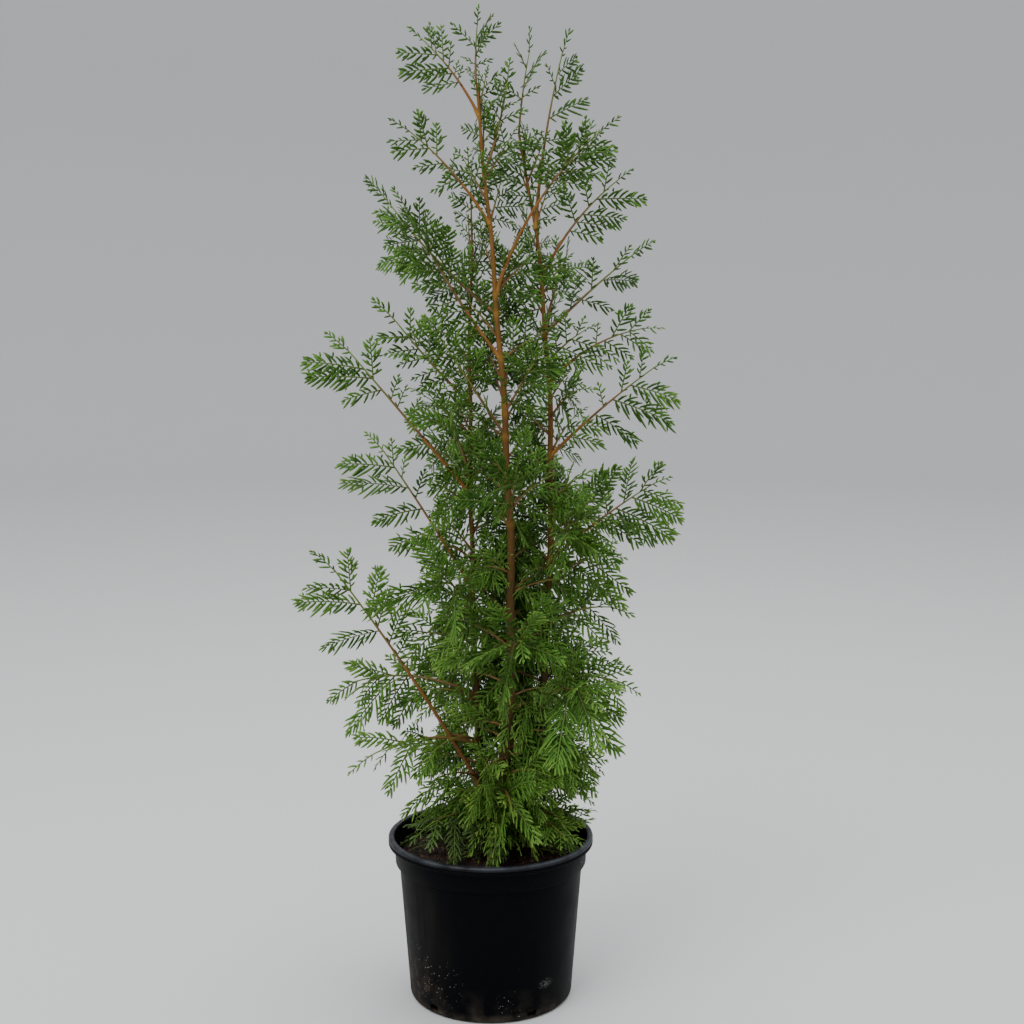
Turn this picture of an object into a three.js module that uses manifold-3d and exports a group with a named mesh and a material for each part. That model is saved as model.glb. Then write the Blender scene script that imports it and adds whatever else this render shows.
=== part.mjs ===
// Potted thuja: a young conifer with three slender stems in a black nursery pot.
// Millimetres, +Z up. The origin is the centre of the pot's flat underside.
// +X is the plant's right and +Y points away from the viewer.
import * as THREE from 'three';
import { mergeVertices } from 'three/addons/utils/BufferGeometryUtils.js';
import Module from 'manifold-3d';

const wasm = await Module();
wasm.setup();

// Clearance kept between two pieces that touch on the real plant.
const GAP = 0.3;

// The pot: a thin moulded shell with a rolled rim, a collar band and a rounded heel.
const POT_HEIGHT = 225;
const RIM_RADIUS = 140;
const RIM_WIDTH = 8;
const RIM_DEPTH = 11;
const RIM_ROUND = 2.6;
const COLLAR_RADIUS = 130.5;
const COLLAR_DEPTH = 26;
const COLLAR_STEP = 3;
const COLLAR_DRAFT = 1;
const BODY_TOP_RADIUS = 125;
const BASE_RADIUS = 111.5;
const HEEL = 7;
const HEEL_ROUND = 0.3;
const WALL = 2.4;
const POT_FLOOR = 3;
const POT_SEGMENTS = 32;
const DRAIN_COUNT = 5;
const DRAIN_HEADING = -60;
const DRAIN_WIDTH = 15;
const DRAIN_HEIGHT = 11;
const DRAIN_SILL = 4;

// The compost ends below the rim and falls away a little towards the wall.
const SOIL_TOP = 197;
const SOIL_SHOULDER = 92;
const SOIL_FALL = 5;

// Three stems rise from the middle of the pot. Each is one cubic curve from its foot to its tip.
const STEM_SIDES = 8;
const STEM_RINGS = 9;
const FOOT_CROWDING = 0.55;
const FLARE_HEIGHT = 16;
const STEM_FOOT = SOIL_TOP + GAP;
const STEMS = {
  middle: {
    foot: [5, -10, STEM_FOOT],
    lower: [54, -20, 520],
    upper: [14, -12, 900],
    tip: [-17, -8, 1222],
    footRadius: 7.6,
    tipRadius: 1.7,
    flare: 4,
  },
  right: {
    foot: [47, 8, STEM_FOOT],
    lower: [94, 16, 560],
    upper: [94, 20, 910],
    tip: [38, 14, 1162],
    footRadius: 6.4,
    tipRadius: 1.6,
    flare: 3,
  },
  left: {
    foot: [-10, 12, STEM_FOOT],
    lower: [-24, 22, 480],
    upper: [-32, 24, 760],
    tip: [-24, 18, 1040],
    footRadius: 5,
    tipRadius: 1.4,
    flare: 2.4,
  },
};

// A limb leaves its stem at a height, heads round the compass from +X, rises by an angle and bends by
// a further angle half way. It is a bare bough over the first share of its length. The rest is a mass of
// foliage, with so many sprays, the longest of a given length, on a plane that is rolled about the limb.
const LIMB_FIELDS = [
  'name', 'stem', 'height', 'heading', 'rise', 'bend', 'length', 'bare', 'sprays', 'longest', 'roll',
];
const LIMBS = [
  // Left side, from the pot to the top.
  ['apron_left', 'left', 246, 222, 22, -52, 142, 0, 6, 62, 70],
  ['skirt_left', 'left', 345, 203, 22, -56, 236, 0, 8, 88, 0],
  ['long_left', 'left', 285, 186, 61, -8, 406, 0.5, 7, 94, 0],
  ['low_left', 'left', 414, 171, 24, -52, 240, 0, 7, 88, 8],
  ['shoulder_left', 'left', 560, 176, 59, -4, 262, 0.32, 8, 92, 0],
  ['reach_left', 'left', 690, 184, 50, 0, 290, 0.34, 8, 100, 0],
  ['inner_left', 'middle', 770, 194, 56, 0, 195, 0, 7, 72, 12],
  ['sweep_left', 'left', 812, 192, 44, 10, 190, 0, 7, 76, 0],
  ['upper_left', 'middle', 872, 178, 52, 14, 262, 0.3, 9, 92, 0],
  ['veil_left', 'middle', 930, 162, 36, 20, 262, 0, 8, 88, -10],
  ['crown_left', 'middle', 1045, 183, 60, -26, 188, 0.34, 7, 66, 0],
  ['top_left', 'middle', 1182, 180, 64, -26, 146, 0.3, 7, 52, 0],
  // Right side, from the pot to the top.
  ['apron_right', 'right', 250, -62, 8, -32, 138, 0, 6, 58, 80],
  ['skirt_right', 'right', 330, -14, 20, -58, 150, 0, 7, 76, 0],
  ['low_right', 'right', 425, 8, 24, -56, 178, 0, 7, 84, 0],
  ['shoulder_right', 'right', 512, -8, 36, -50, 166, 0, 7, 80, 0],
  ['reach_right', 'right', 598, 4, 43, -14, 218, 0.4, 7, 84, 0],
  ['mid_right', 'right', 742, -6, 46, -12, 212, 0.34, 7, 78, 0],
  ['inner_right', 'middle', 800, -30, 58, -4, 130, 0, 6, 60, 10],
  ['arch_right', 'right', 838, 2, 50, -46, 182, 0.36, 7, 66, 0],
  ['airy_right', 'right', 905, 14, 44, -8, 200, 0, 7, 70, 10],
  ['cross_right', 'middle', 955, -7, 73, -36, 288, 0.5, 7, 64, 0],
  ['crown_right', 'right', 975, 4, 66, -32, 196, 0.34, 7, 66, 0],
  ['second_leader', 'right', 1040, 20, 86, -12, 262, 0.4, 8, 56, 0],
  ['top_right', 'middle', 1110, 8, 70, 14, 150, 0, 8, 52, 0],
];

// The front and the back are filled by the same kind of limb, spaced evenly up the stems.
const FACE_LIMBS = {
  front: { heading: -90, lowest: 288, pitch: 61, count: 8, sprays: 7, stems: ['middle', 'left', 'right'] },
  back: { heading: 90, lowest: 292, pitch: 104, count: 7, sprays: 6, stems: ['right', 'left', 'middle'] },
};
const FACE_SPREAD = 26;
const FACE_TURN = { left: -1, middle: 0.25, right: 1 };
const FACE_REACH_LOW = 190;
const FACE_REACH_HIGH = 150;
const FACE_RISE_LOW = 22;
const FACE_RISE_HIGH = 58;
const FACE_BEND_LOW = -56;
const FACE_BEND_HIGH = -12;
const FACE_LONGEST_LOW = 128;
const FACE_LONGEST_HIGH = 104;

// Each stem ends in a leader, a mass that carries on from its tip.
const LEADER_FIELDS = ['name', 'stem', 'heading', 'bend', 'length', 'sprays', 'longest'];
const LEADERS = [
  ['middle_leader', 'middle', 130, 16, 96, 6, 46],
  ['right_leader', 'right', 20, -10, 136, 7, 52],
  ['left_leader', 'left', 250, 8, 92, 5, 60],
];
const LEADER_RISE = 86;
const ROUND_TURN = 75;

// Boughs and the twigs that foliage sits on.
const BOUGH_SIDES = 5;
const BOUGH_RINGS = 3;
const BOUGH_BASE_RADIUS = 1.5;
const BOUGH_RADIUS_PER_LENGTH = 0.0042;
const BOUGH_TIP_SHARE = 0.55;
const TWIG_SIDES = 3;
const TWIG_RINGS = 3;
const TWIG_SWELL = 1.3;
const TWIG_TIP_RADIUS = 1.3;
const TWIG_END = 0.8;

// A spray is a toothed blade, flat below, with a ridge above where it is thickest.
const TEETH_LONG = 3;
const TEETH_SHORT = 2;
const LONG_SPRAY = 92;
const RIDGE = 1.9;
const ROOT_HALF = 0.6;
const ROOT_SUNK = 0.3;
const BLADE_FROM = 0.2;
const BLADE_TO = 0.92;
const NOTCH_SHARE = 0.14;
const NOTCH_LEAST = 0.6;
const WIDTH_SHARE = 0.24;
const TOOTH_LEAD = 0.15;
const TOOTH_SET = 0.2;
const TOOTH_END = 0.7;

// Where the sprays leave their twig, how long they are, and how they fork, tilt, twist and droop.
const FIRST_SPRAY = 0.08;
const FIRST_SPRAY_ON_STEM = 0.16;
const LAST_SPRAY = 0.9;
const END_SPRAY = 0.96;
const SWELL_FROM = 0.2;
const SWELL_LEAST = 0.5;
const LOWER_SIDE = 1.12;
const UPPER_SIDE = 0.88;
const FORK_BASE = 58;
const FORK_TIP = 34;
const FORK_JITTER = 8;
const ROLL_JITTER = 16;
const TILT = 0.34;
const TWIST = 30;
const DROOP_LOW = 0.4;
const DROOP_HIGH = 0.08;
const DROOP_EASE = 0.5;
const LENGTH_JITTER = 0.16;
const SHRINK_STEPS = [1, 0.84, 0.7, 0.58, 0.46];
const SEED_STEP = 1009;

// The space that each mass keeps to, and its clearance from limbs, pot and compost.
const SPACE_MARGIN = 1.2;
const LIMB_CLEARANCE = 3.4;
const GROUND_CLEARANCE = 2.5;
const RIM_CLEARANCE = 4;
const SAMPLES_ALONG = 10;
const SAMPLES_ACROSS = 5;
const PATH_STEPS = 8;

const MERGE_DISTANCE = 1e-4;
const HALVINGS = 40;
const radians = THREE.MathUtils.degToRad;
const lerp = THREE.MathUtils.lerp;
const vector = (values) => new THREE.Vector3(...values);

const MATERIALS = {
  pot: { color: 0x121315, roughness: 0.5, metalness: 0 },
  soil: { color: 0x2b2018, roughness: 0.95, metalness: 0 },
  bark: { color: 0x7a5238, roughness: 0.85, metalness: 0 },
  foliage: { color: 0x3c6a26, roughness: 0.8, metalness: 0 },
};

const plant = new THREE.Group();

function addPiece(name, geometry, finish) {
  geometry.computeVertexNormals();
  const mesh = new THREE.Mesh(geometry, new THREE.MeshStandardMaterial(MATERIALS[finish]));
  mesh.name = name;
  plant.add(mesh);
}

// A closed mesh as a solid for joining and cutting, and back again.
function toSolid(geometry) {
  const bare = geometry.clone();
  bare.deleteAttribute('normal');
  bare.deleteAttribute('uv');
  const merged = mergeVertices(bare, MERGE_DISTANCE);
  const vertProperties = new Float32Array(merged.attributes.position.array);
  const triVerts = new Uint32Array(merged.index.array);
  return new wasm.Manifold(new wasm.Mesh({ numProp: 3, vertProperties, triVerts }));
}

function toGeometry(solid) {
  const mesh = solid.getMesh();
  const geometry = new THREE.BufferGeometry();
  geometry.setAttribute('position', new THREE.BufferAttribute(mesh.vertProperties.slice(), 3));
  geometry.setIndex(new THREE.BufferAttribute(mesh.triVerts.slice(), 1));
  return geometry;
}

// The same run of values for a seed on every machine.
function seeded(seed) {
  let state = seed;
  return () => {
    state = (state * 1664525 + 1013904223) % 4294967296;
    return state / 4294967296;
  };
}

// A LatheGeometry turned so that its axis is +Z.
function turned(profile) {
  const points = profile.map(([radius, height]) => new THREE.Vector2(radius, height));
  const geometry = new THREE.LatheGeometry(points, POT_SEGMENTS);
  geometry.rotateX(Math.PI / 2);
  return geometry;
}

function wallRadius(height) {
  const collarFoot = POT_HEIGHT - RIM_DEPTH - COLLAR_DEPTH;
  return lerp(BASE_RADIUS, BODY_TOP_RADIUS, height / collarFoot);
}

function makePot() {
  const lipFoot = POT_HEIGHT - RIM_DEPTH;
  const collarFoot = lipFoot - COLLAR_DEPTH;
  const rimInner = RIM_RADIUS - RIM_WIDTH;
  const profile = [
    [0, 0],
    [BASE_RADIUS - HEEL, 0],
    [BASE_RADIUS - HEEL * HEEL_ROUND, HEEL * HEEL_ROUND],
    [wallRadius(HEEL), HEEL],
    [BODY_TOP_RADIUS, collarFoot - COLLAR_STEP],
    [COLLAR_RADIUS, collarFoot],
    [COLLAR_RADIUS + COLLAR_DRAFT, lipFoot],
    [RIM_RADIUS, lipFoot],
    [RIM_RADIUS, POT_HEIGHT - RIM_ROUND],
    [RIM_RADIUS - RIM_ROUND, POT_HEIGHT],
    [rimInner + RIM_ROUND, POT_HEIGHT],
    [rimInner, POT_HEIGHT - RIM_ROUND],
    [COLLAR_RADIUS + COLLAR_DRAFT - WALL, lipFoot - WALL],
    [COLLAR_RADIUS - WALL, collarFoot + WALL],
    [BODY_TOP_RADIUS - WALL, collarFoot - COLLAR_STEP],
    [wallRadius(HEEL) - WALL, HEEL + WALL],
    [BASE_RADIUS - HEEL, POT_FLOOR],
    [0, POT_FLOOR],
  ];
  let shell = toSolid(turned(profile));
  // Drain slots open through the heel.
  for (let k = 0; k < DRAIN_COUNT; k += 1) {
    const slot = new THREE.BoxGeometry(4 * HEEL, DRAIN_WIDTH, DRAIN_HEIGHT);
    slot.translate(BASE_RADIUS, 0, DRAIN_SILL + DRAIN_HEIGHT / 2);
    slot.rotateZ(radians(DRAIN_HEADING + k * 360 / DRAIN_COUNT));
    shell = shell.subtract(toSolid(slot));
  }
  addPiece('pot', toGeometry(shell), 'pot');
}

function makeSoil() {
  const inset = WALL + 2 * GAP;
  const bottom = POT_FLOOR + GAP;
  const collarFoot = POT_HEIGHT - RIM_DEPTH - COLLAR_DEPTH;
  const profile = [
    [0, bottom],
    [BASE_RADIUS - HEEL - GAP, bottom],
    [wallRadius(HEEL) - inset, HEEL + inset],
    [BODY_TOP_RADIUS - inset, collarFoot - COLLAR_STEP],
    [COLLAR_RADIUS - inset, SOIL_TOP - SOIL_FALL],
    [SOIL_SHOULDER, SOIL_TOP],
    [0, SOIL_TOP],
  ];
  addPiece('soil', turned(profile), 'soil');
}

// A tapering limb: a cylinder whose rings are laid along a curve. Rings are level on a stem.
function limbGeometry({ path, radiusAt, sides, rings, acrossAt }) {
  const geometry = new THREE.CylinderGeometry(1, 1, 1, sides, rings);
  const position = geometry.attributes.position;
  for (let i = 0; i < position.count; i += 1) {
    const share = 0.5 + position.getY(i);
    const [across, upward] = acrossAt(share);
    const point = path(share);
    point.addScaledVector(across, position.getX(i) * radiusAt(share));
    point.addScaledVector(upward, position.getZ(i) * radiusAt(share));
    position.setXYZ(i, point.x, point.y, point.z);
  }
  return geometry;
}

const stemCurves = {};
for (const [name, stem] of Object.entries(STEMS)) {
  const stops = [stem.foot, stem.lower, stem.upper, stem.tip].map(vector);
  stemCurves[name] = new THREE.CubicBezierCurve3(...stops);
}

// The share of a stem's curve at which it reaches a height.
function stemShare(name, height) {
  let low = 0;
  let high = 1;
  for (let step = 0; step < HALVINGS; step += 1) {
    const middle = (low + high) / 2;
    if (stemCurves[name].getPoint(middle).z < height) {
      low = middle;
    } else {
      high = middle;
    }
  }
  return low;
}

function stemRadius(name, height) {
  const { footRadius, tipRadius, flare, foot, tip } = STEMS[name];
  const share = (height - foot[2]) / (tip[2] - foot[2]);
  return lerp(footRadius, tipRadius, share) + flare * Math.exp(-(height - foot[2]) / FLARE_HEIGHT);
}

function stemGeometry(name, growth) {
  const curve = stemCurves[name];
  const ring = (share) => share * lerp(FOOT_CROWDING, 1, share);
  return limbGeometry({
    path: (share) => curve.getPoint(ring(share)),
    radiusAt: (share) => stemRadius(name, curve.getPoint(ring(share)).z) + growth,
    sides: STEM_SIDES,
    rings: STEM_RINGS,
    acrossAt: () => [new THREE.Vector3(0, 1, 0), new THREE.Vector3(1, 0, 0)],
  });
}

// The unit vector of a compass heading and a rise.
function bearing(heading, rise) {
  const level = Math.cos(radians(rise));
  return new THREE.Vector3(
    level * Math.cos(radians(heading)),
    level * Math.sin(radians(heading)),
    Math.sin(radians(rise)),
  );
}

// A limb's curve lies in one upright plane: half its length at its rise, half at its rise and bend.
function withCurve(limb) {
  const start = limb.start ?? stemCurves[limb.stem].getPoint(stemShare(limb.stem, limb.height));
  const middle = start.clone().addScaledVector(bearing(limb.heading, limb.rise), limb.length / 2);
  const bent = bearing(limb.heading, limb.rise + limb.bend);
  const end = middle.clone().addScaledVector(bent, limb.length / 2);
  const curve = new THREE.QuadraticBezierCurve3(start, middle, end);
  const across = bearing(limb.heading + 90, 0);
  const baseRadius = limb.baseRadius ?? BOUGH_BASE_RADIUS + BOUGH_RADIUS_PER_LENGTH * limb.length;
  return { ...limb, curve, across, baseRadius };
}

function fromTable(fields, rows) {
  return rows.map((row) => Object.fromEntries(fields.map((field, i) => [field, row[i]])));
}

function faceLimbs() {
  const rows = [];
  for (const [face, { heading, lowest, pitch, count, sprays, stems }] of Object.entries(FACE_LIMBS)) {
    for (let k = 0; k < count; k += 1) {
      const rank = k / (count - 1);
      const stem = stems[k % stems.length];
      const turn = FACE_TURN[stem] * (face === 'front' ? 1 : -1);
      rows.push({
        name: `${face}_${k + 1}`,
        stem,
        height: lowest + k * pitch,
        heading: heading + turn * FACE_SPREAD,
        rise: lerp(FACE_RISE_LOW, FACE_RISE_HIGH, rank),
        bend: lerp(FACE_BEND_LOW, FACE_BEND_HIGH, rank),
        length: lerp(FACE_REACH_LOW, FACE_REACH_HIGH, rank),
        bare: 0,
        sprays,
        longest: lerp(FACE_LONGEST_LOW, FACE_LONGEST_HIGH, rank),
        roll: 0,
        round: true,
      });
    }
  }
  return rows;
}

function leaderLimbs() {
  return fromTable(LEADER_FIELDS, LEADERS).map((leader) => {
    const start = stemCurves[leader.stem].getPoint(1);
    start.z += GAP;
    const baseRadius = STEMS[leader.stem].tipRadius;
    return { ...leader, start, baseRadius, rise: LEADER_RISE, bare: 0, roll: 0, round: true };
  });
}

const limbs = [...fromTable(LIMB_FIELDS, LIMBS), ...faceLimbs(), ...leaderLimbs()].map(withCurve);

// Straight pieces of every limb and twig, for measuring distances.
function segmentsOf(pointAt, from, to, radiusAt) {
  const pieces = [];
  for (let k = 0; k < PATH_STEPS; k += 1) {
    const share = lerp(from, to, k / PATH_STEPS);
    const next = lerp(from, to, (k + 1) / PATH_STEPS);
    pieces.push({ a: pointAt(share), b: pointAt(next), radius: radiusAt(share) });
  }
  return pieces;
}

function limbRadius(limb, share) {
  return limb.baseRadius * lerp(1, BOUGH_TIP_SHARE, share);
}

function distanceTo(piece, point) {
  const line = piece.b.clone().sub(piece.a);
  const reach = point.clone().sub(piece.a);
  const share = THREE.MathUtils.clamp(reach.dot(line) / line.lengthSq(), 0, 1);
  return reach.addScaledVector(line, -share).length();
}

const solidPieces = [];
for (const name of Object.keys(STEMS)) {
  const curve = stemCurves[name];
  const radiusAt = (share) => stemRadius(name, curve.getPoint(share).z);
  solidPieces.push(...segmentsOf((share) => curve.getPoint(share), 0, 1, radiusAt));
}
for (const limb of limbs.filter(({ bare }) => bare > 0)) {
  const pointAt = (share) => limb.curve.getPoint(share);
  solidPieces.push(...segmentsOf(pointAt, 0, limb.bare, () => limb.baseRadius));
}
for (const limb of limbs) {
  limb.axis = segmentsOf((share) => limb.curve.getPoint(share), limb.bare, 1, () => 0);
}

function nearest(pieces, point) {
  return pieces.reduce((best, piece) => Math.min(best, distanceTo(piece, point)), Infinity);
}

// Whether a point lies in the space of a mass: nearer to its own twig than to others, and off every limb.
function inSpace(limb, point) {
  const level = Math.hypot(point.x, point.y);
  if (point.z < SOIL_TOP + GROUND_CLEARANCE) {
    return false;
  }
  if (point.z < POT_HEIGHT + RIM_CLEARANCE && level > RIM_RADIUS - RIM_WIDTH - RIM_CLEARANCE) {
    return false;
  }
  if (solidPieces.some((piece) => distanceTo(piece, point) < piece.radius + LIMB_CLEARANCE)) {
    return false;
  }
  const own = nearest(limb.axis, point) + SPACE_MARGIN;
  return limbs.every((other) => other === limb || nearest(other.axis, point) > own);
}

// One toothed blade. Its half width swells from the root and closes at the tip.
function halfWidth(spray, share) {
  return spray.length * WIDTH_SHARE * Math.sin(Math.PI * lerp(BLADE_FROM, BLADE_TO, share));
}

function sprayPoint(spray, along, aside, above) {
  const point = spray.root.clone().addScaledVector(spray.direction, along);
  point.addScaledVector(spray.lateral, aside);
  return point.addScaledVector(spray.normal, above);
}

function bladeGeometry(spray) {
  const points = [];
  const faces = [];
  const add = (along, aside, above) => points.push(sprayPoint(spray, along, aside, above)) - 1;
  const teeth = spray.length > LONG_SPRAY ? TEETH_LONG : TEETH_SHORT;
  const pitch = spray.length / (teeth + TOOTH_END);
  const section = (along, half, ridge, base) => {
    return { left: add(along, half, base), right: add(along, -half, base), ridge: add(along, 0, ridge) };
  };
  let back = section(-ROOT_SUNK, ROOT_HALF, ROOT_HALF, -ROOT_HALF / 2);
  faces.push([back.ridge, back.left, back.right]);
  for (let k = 1; k <= teeth; k += 1) {
    const along = k * pitch;
    const share = (k - TOOTH_SET) * pitch / spray.length;
    const notch = halfWidth(spray, along / spray.length) * NOTCH_SHARE + NOTCH_LEAST;
    const front = section(along, notch, RIDGE, 0);
    const reach = halfWidth(spray, share);
    const left = add((share + TOOTH_LEAD) * spray.length, reach, 0);
    const right = add((share + TOOTH_LEAD) * spray.length, -reach, 0);
    faces.push([back.ridge, front.ridge, front.left], [back.ridge, front.left, left]);
    faces.push([back.ridge, left, back.left], [back.left, left, front.left]);
    faces.push([back.ridge, front.right, front.ridge], [back.ridge, right, front.right]);
    faces.push([back.ridge, back.right, right], [back.right, front.right, right]);
    faces.push([back.left, front.left, front.right], [back.left, front.right, back.right]);
    back = front;
  }
  const tip = add(spray.length, 0, 0);
  faces.push([back.ridge, tip, back.left], [back.ridge, back.right, tip], [back.left, tip, back.right]);
  const geometry = new THREE.BufferGeometry().setFromPoints(points);
  geometry.setIndex(faces.flat());
  return geometry;
}

function sprayFits(limb, spray) {
  for (let i = 1; i <= SAMPLES_ALONG; i += 1) {
    const share = i / SAMPLES_ALONG;
    const half = i === SAMPLES_ALONG ? 0 : halfWidth(spray, share);
    for (let j = 0; j < SAMPLES_ACROSS; j += 1) {
      const aside = half * (2 * j / (SAMPLES_ACROSS - 1) - 1);
      const along = spray.length * Math.min(share + TOOTH_LEAD * Math.abs(aside) / (half + 1), 1);
      if (!inSpace(limb, sprayPoint(spray, along, aside, 0))) {
        return false;
      }
    }
  }
  return true;
}

// The twig of a mass starts a gap beyond its bough's tip and stops short, and the last spray carries on.
function twigShare(limb, share) {
  const from = limb.bare > 0 ? limb.bare + GAP / limb.length : 0;
  return lerp(from, lerp(limb.bare, 1, TWIG_END), share);
}

// A point on the straight stretches of the twig, where its sprays are rooted.
function twigPoint(limb, share) {
  const step = Math.min(Math.floor(share * TWIG_RINGS), TWIG_RINGS - 1);
  const low = limb.curve.getPoint(twigShare(limb, step / TWIG_RINGS));
  const high = limb.curve.getPoint(twigShare(limb, (step + 1) / TWIG_RINGS));
  return low.lerp(high, share * TWIG_RINGS - step);
}

function twigRadius(limb, share) {
  return lerp(TWIG_SWELL * limbRadius(limb, limb.bare), TWIG_TIP_RADIUS, share);
}

// The sprays of one mass, by a seeded rule. They leave the twig on alternate sides, less forked at its tip.
function spraysOf(limb, index) {
  const random = seeded(SEED_STEP * (index + 1));
  const wobble = () => 2 * random() - 1;
  const sprays = [];
  for (let k = 0; k < limb.sprays; k += 1) {
    const last = k === limb.sprays - 1;
    const rank = k / (limb.sprays - 1);
    const first = limb.bare > 0 ? FIRST_SPRAY : FIRST_SPRAY_ON_STEM;
    const share = last ? END_SPRAY : lerp(first, LAST_SPRAY, rank);
    const along = twigShare(limb, share);
    const tangent = limb.curve.getTangent(along);
    const turn = radians(limb.roll + (limb.round ? ROUND_TURN * k : 0) + ROLL_JITTER * wobble());
    const upward = new THREE.Vector3().crossVectors(tangent, limb.across);
    const plane = limb.across.clone().multiplyScalar(Math.cos(turn));
    plane.addScaledVector(upward, Math.sin(turn));
    const sideways = new THREE.Vector3().crossVectors(plane, tangent);
    const side = k % 2 === 0 ? 1 : -1;
    const fork = last ? 0 : radians(lerp(FORK_BASE, FORK_TIP, rank) + FORK_JITTER * wobble());
    const direction = tangent.clone().multiplyScalar(Math.cos(fork));
    direction.addScaledVector(sideways, side * Math.sin(fork));
    direction.addScaledVector(plane, TILT * wobble());
    const root = twigPoint(limb, share);
    const droop = lerp(DROOP_LOW, DROOP_HIGH, root.z / STEMS.middle.tip[2]);
    direction.z -= droop * lerp(1, DROOP_EASE, rank);
    direction.normalize();
    const facing = limb.round && k % 2 === 1 && !last ? bearing(limb.heading, 0) : plane;
    const normal = facing.clone().addScaledVector(direction, -facing.dot(direction)).normalize();
    normal.applyAxisAngle(direction, radians(TWIST * wobble()));
    const lateral = new THREE.Vector3().crossVectors(normal, direction);
    const swell = lerp(SWELL_LEAST, 1, Math.sin(Math.PI * lerp(SWELL_FROM, 1, rank)));
    const fill = side > 0 ? LOWER_SIDE : UPPER_SIDE;
    const ending = limb.length * (1 - along);
    const jitter = 1 + LENGTH_JITTER * wobble();
    const full = last ? ending : limb.longest * swell * fill * jitter;
    for (const shrink of SHRINK_STEPS) {
      const spray = { root, direction, normal, lateral, length: full * shrink };
      if (sprayFits(limb, spray)) {
        sprays.push(spray);
        break;
      }
    }
  }
  return sprays;
}

// A limb starts at the stem's centre and is cut clear of it, so it seats on the bark.
const stemCutters = {};
for (const name of Object.keys(STEMS)) {
  stemCutters[name] = toSolid(stemGeometry(name, GAP));
}

function seated(limb, solid) {
  return limb.start ? solid : largest(solid.subtract(stemCutters[limb.stem]));
}

function largest(solid) {
  return solid.decompose().sort((one, other) => other.volume() - one.volume())[0];
}

function ringFrame(limb, share) {
  const tangent = limb.curve.getTangent(share);
  return [limb.across, new THREE.Vector3().crossVectors(limb.across, tangent)];
}

function makeBough(limb) {
  const geometry = limbGeometry({
    path: (share) => limb.curve.getPoint(share * limb.bare),
    radiusAt: (share) => limbRadius(limb, share * limb.bare),
    sides: BOUGH_SIDES,
    rings: BOUGH_RINGS,
    acrossAt: (share) => ringFrame(limb, share * limb.bare),
  });
  addPiece(`bough_${limb.name}`, toGeometry(seated(limb, toSolid(geometry))), 'bark');
}

function makeMass(limb, index) {
  const twig = limbGeometry({
    path: (share) => limb.curve.getPoint(twigShare(limb, share)),
    radiusAt: (share) => twigRadius(limb, share),
    sides: TWIG_SIDES,
    rings: TWIG_RINGS,
    acrossAt: (share) => ringFrame(limb, twigShare(limb, share)),
  });
  let solid = toSolid(twig);
  if (limb.bare === 0) {
    solid = seated(limb, solid);
  }
  for (const spray of spraysOf(limb, index)) {
    solid = solid.add(toSolid(bladeGeometry(spray)));
  }
  addPiece(`foliage_${limb.name}`, toGeometry(largest(solid)), 'foliage');
}

makePot();
makeSoil();
for (const name of Object.keys(STEMS)) {
  addPiece(`stem_${name}`, stemGeometry(name, 0), 'bark');
}
limbs.filter(({ bare }) => bare > 0).forEach(makeBough);
limbs.forEach(makeMass);

export default plant;
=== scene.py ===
"""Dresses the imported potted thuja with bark, sprays of scale leaves, a moulded pot and compost."""

import logging
import math
from dataclasses import dataclass, field, replace
from enum import Enum
from typing import Callable, Iterable, Sequence

import bmesh
import bpy
import numpy as np
from mathutils import Matrix, Vector, noise


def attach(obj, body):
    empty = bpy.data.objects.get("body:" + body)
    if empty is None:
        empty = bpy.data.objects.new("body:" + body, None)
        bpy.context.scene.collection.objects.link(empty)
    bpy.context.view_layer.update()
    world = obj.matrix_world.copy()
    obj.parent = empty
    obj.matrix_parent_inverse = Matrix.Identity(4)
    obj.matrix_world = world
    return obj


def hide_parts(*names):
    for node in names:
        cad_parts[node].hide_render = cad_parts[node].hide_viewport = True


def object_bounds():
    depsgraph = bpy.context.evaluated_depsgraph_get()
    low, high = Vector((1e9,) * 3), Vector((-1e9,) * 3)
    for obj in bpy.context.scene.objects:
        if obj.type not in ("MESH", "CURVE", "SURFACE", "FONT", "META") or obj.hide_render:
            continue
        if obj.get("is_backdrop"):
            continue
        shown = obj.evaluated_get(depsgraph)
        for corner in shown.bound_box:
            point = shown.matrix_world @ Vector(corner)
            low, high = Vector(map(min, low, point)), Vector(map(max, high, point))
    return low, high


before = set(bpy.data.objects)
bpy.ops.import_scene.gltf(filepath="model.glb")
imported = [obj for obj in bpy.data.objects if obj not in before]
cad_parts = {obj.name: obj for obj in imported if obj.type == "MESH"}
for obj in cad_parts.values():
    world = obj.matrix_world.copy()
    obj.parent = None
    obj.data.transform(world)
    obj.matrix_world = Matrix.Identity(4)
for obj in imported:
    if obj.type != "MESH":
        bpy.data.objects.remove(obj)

LOG = logging.getLogger("thuja")
CAD_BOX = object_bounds()

# The growth rule counts in millimetres. Meshes are written in metres.
MM = 0.001
GAP = 0.3
SOIL_TOP = 197.0
STEM_FOOT = SOIL_TOP + GAP
POT_HEIGHT = 225.0
RIM_RADIUS = 140.0
RIM_WIDTH = 8.0

# Where the camera stands.
EYE = np.array([29.1, -2050.0, 942.0])

Pair = tuple[float, float]
Triple = tuple[float, float, float]
Colour = Triple
Value = float | np.ndarray
Socket = bpy.types.NodeSocket


class Tint(Enum):
    """The plain colours that are dealt out among the sprays."""

    DULL = "dull"
    DEEP = "deep"
    MID = "mid"
    FRESH = "fresh"
    TIP = "tip"


class Side(Enum):
    """The side of the plant that a mass of foliage fills."""

    LEFT = "left"
    RIGHT = "right"
    FRONT = "front"
    BACK = "back"
    CROWN = "crown"


def lerp(low: Value, high: Value, share: Value) -> Value:
    """The value a share of the way from low to high."""
    return low + (high - low) * share


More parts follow.
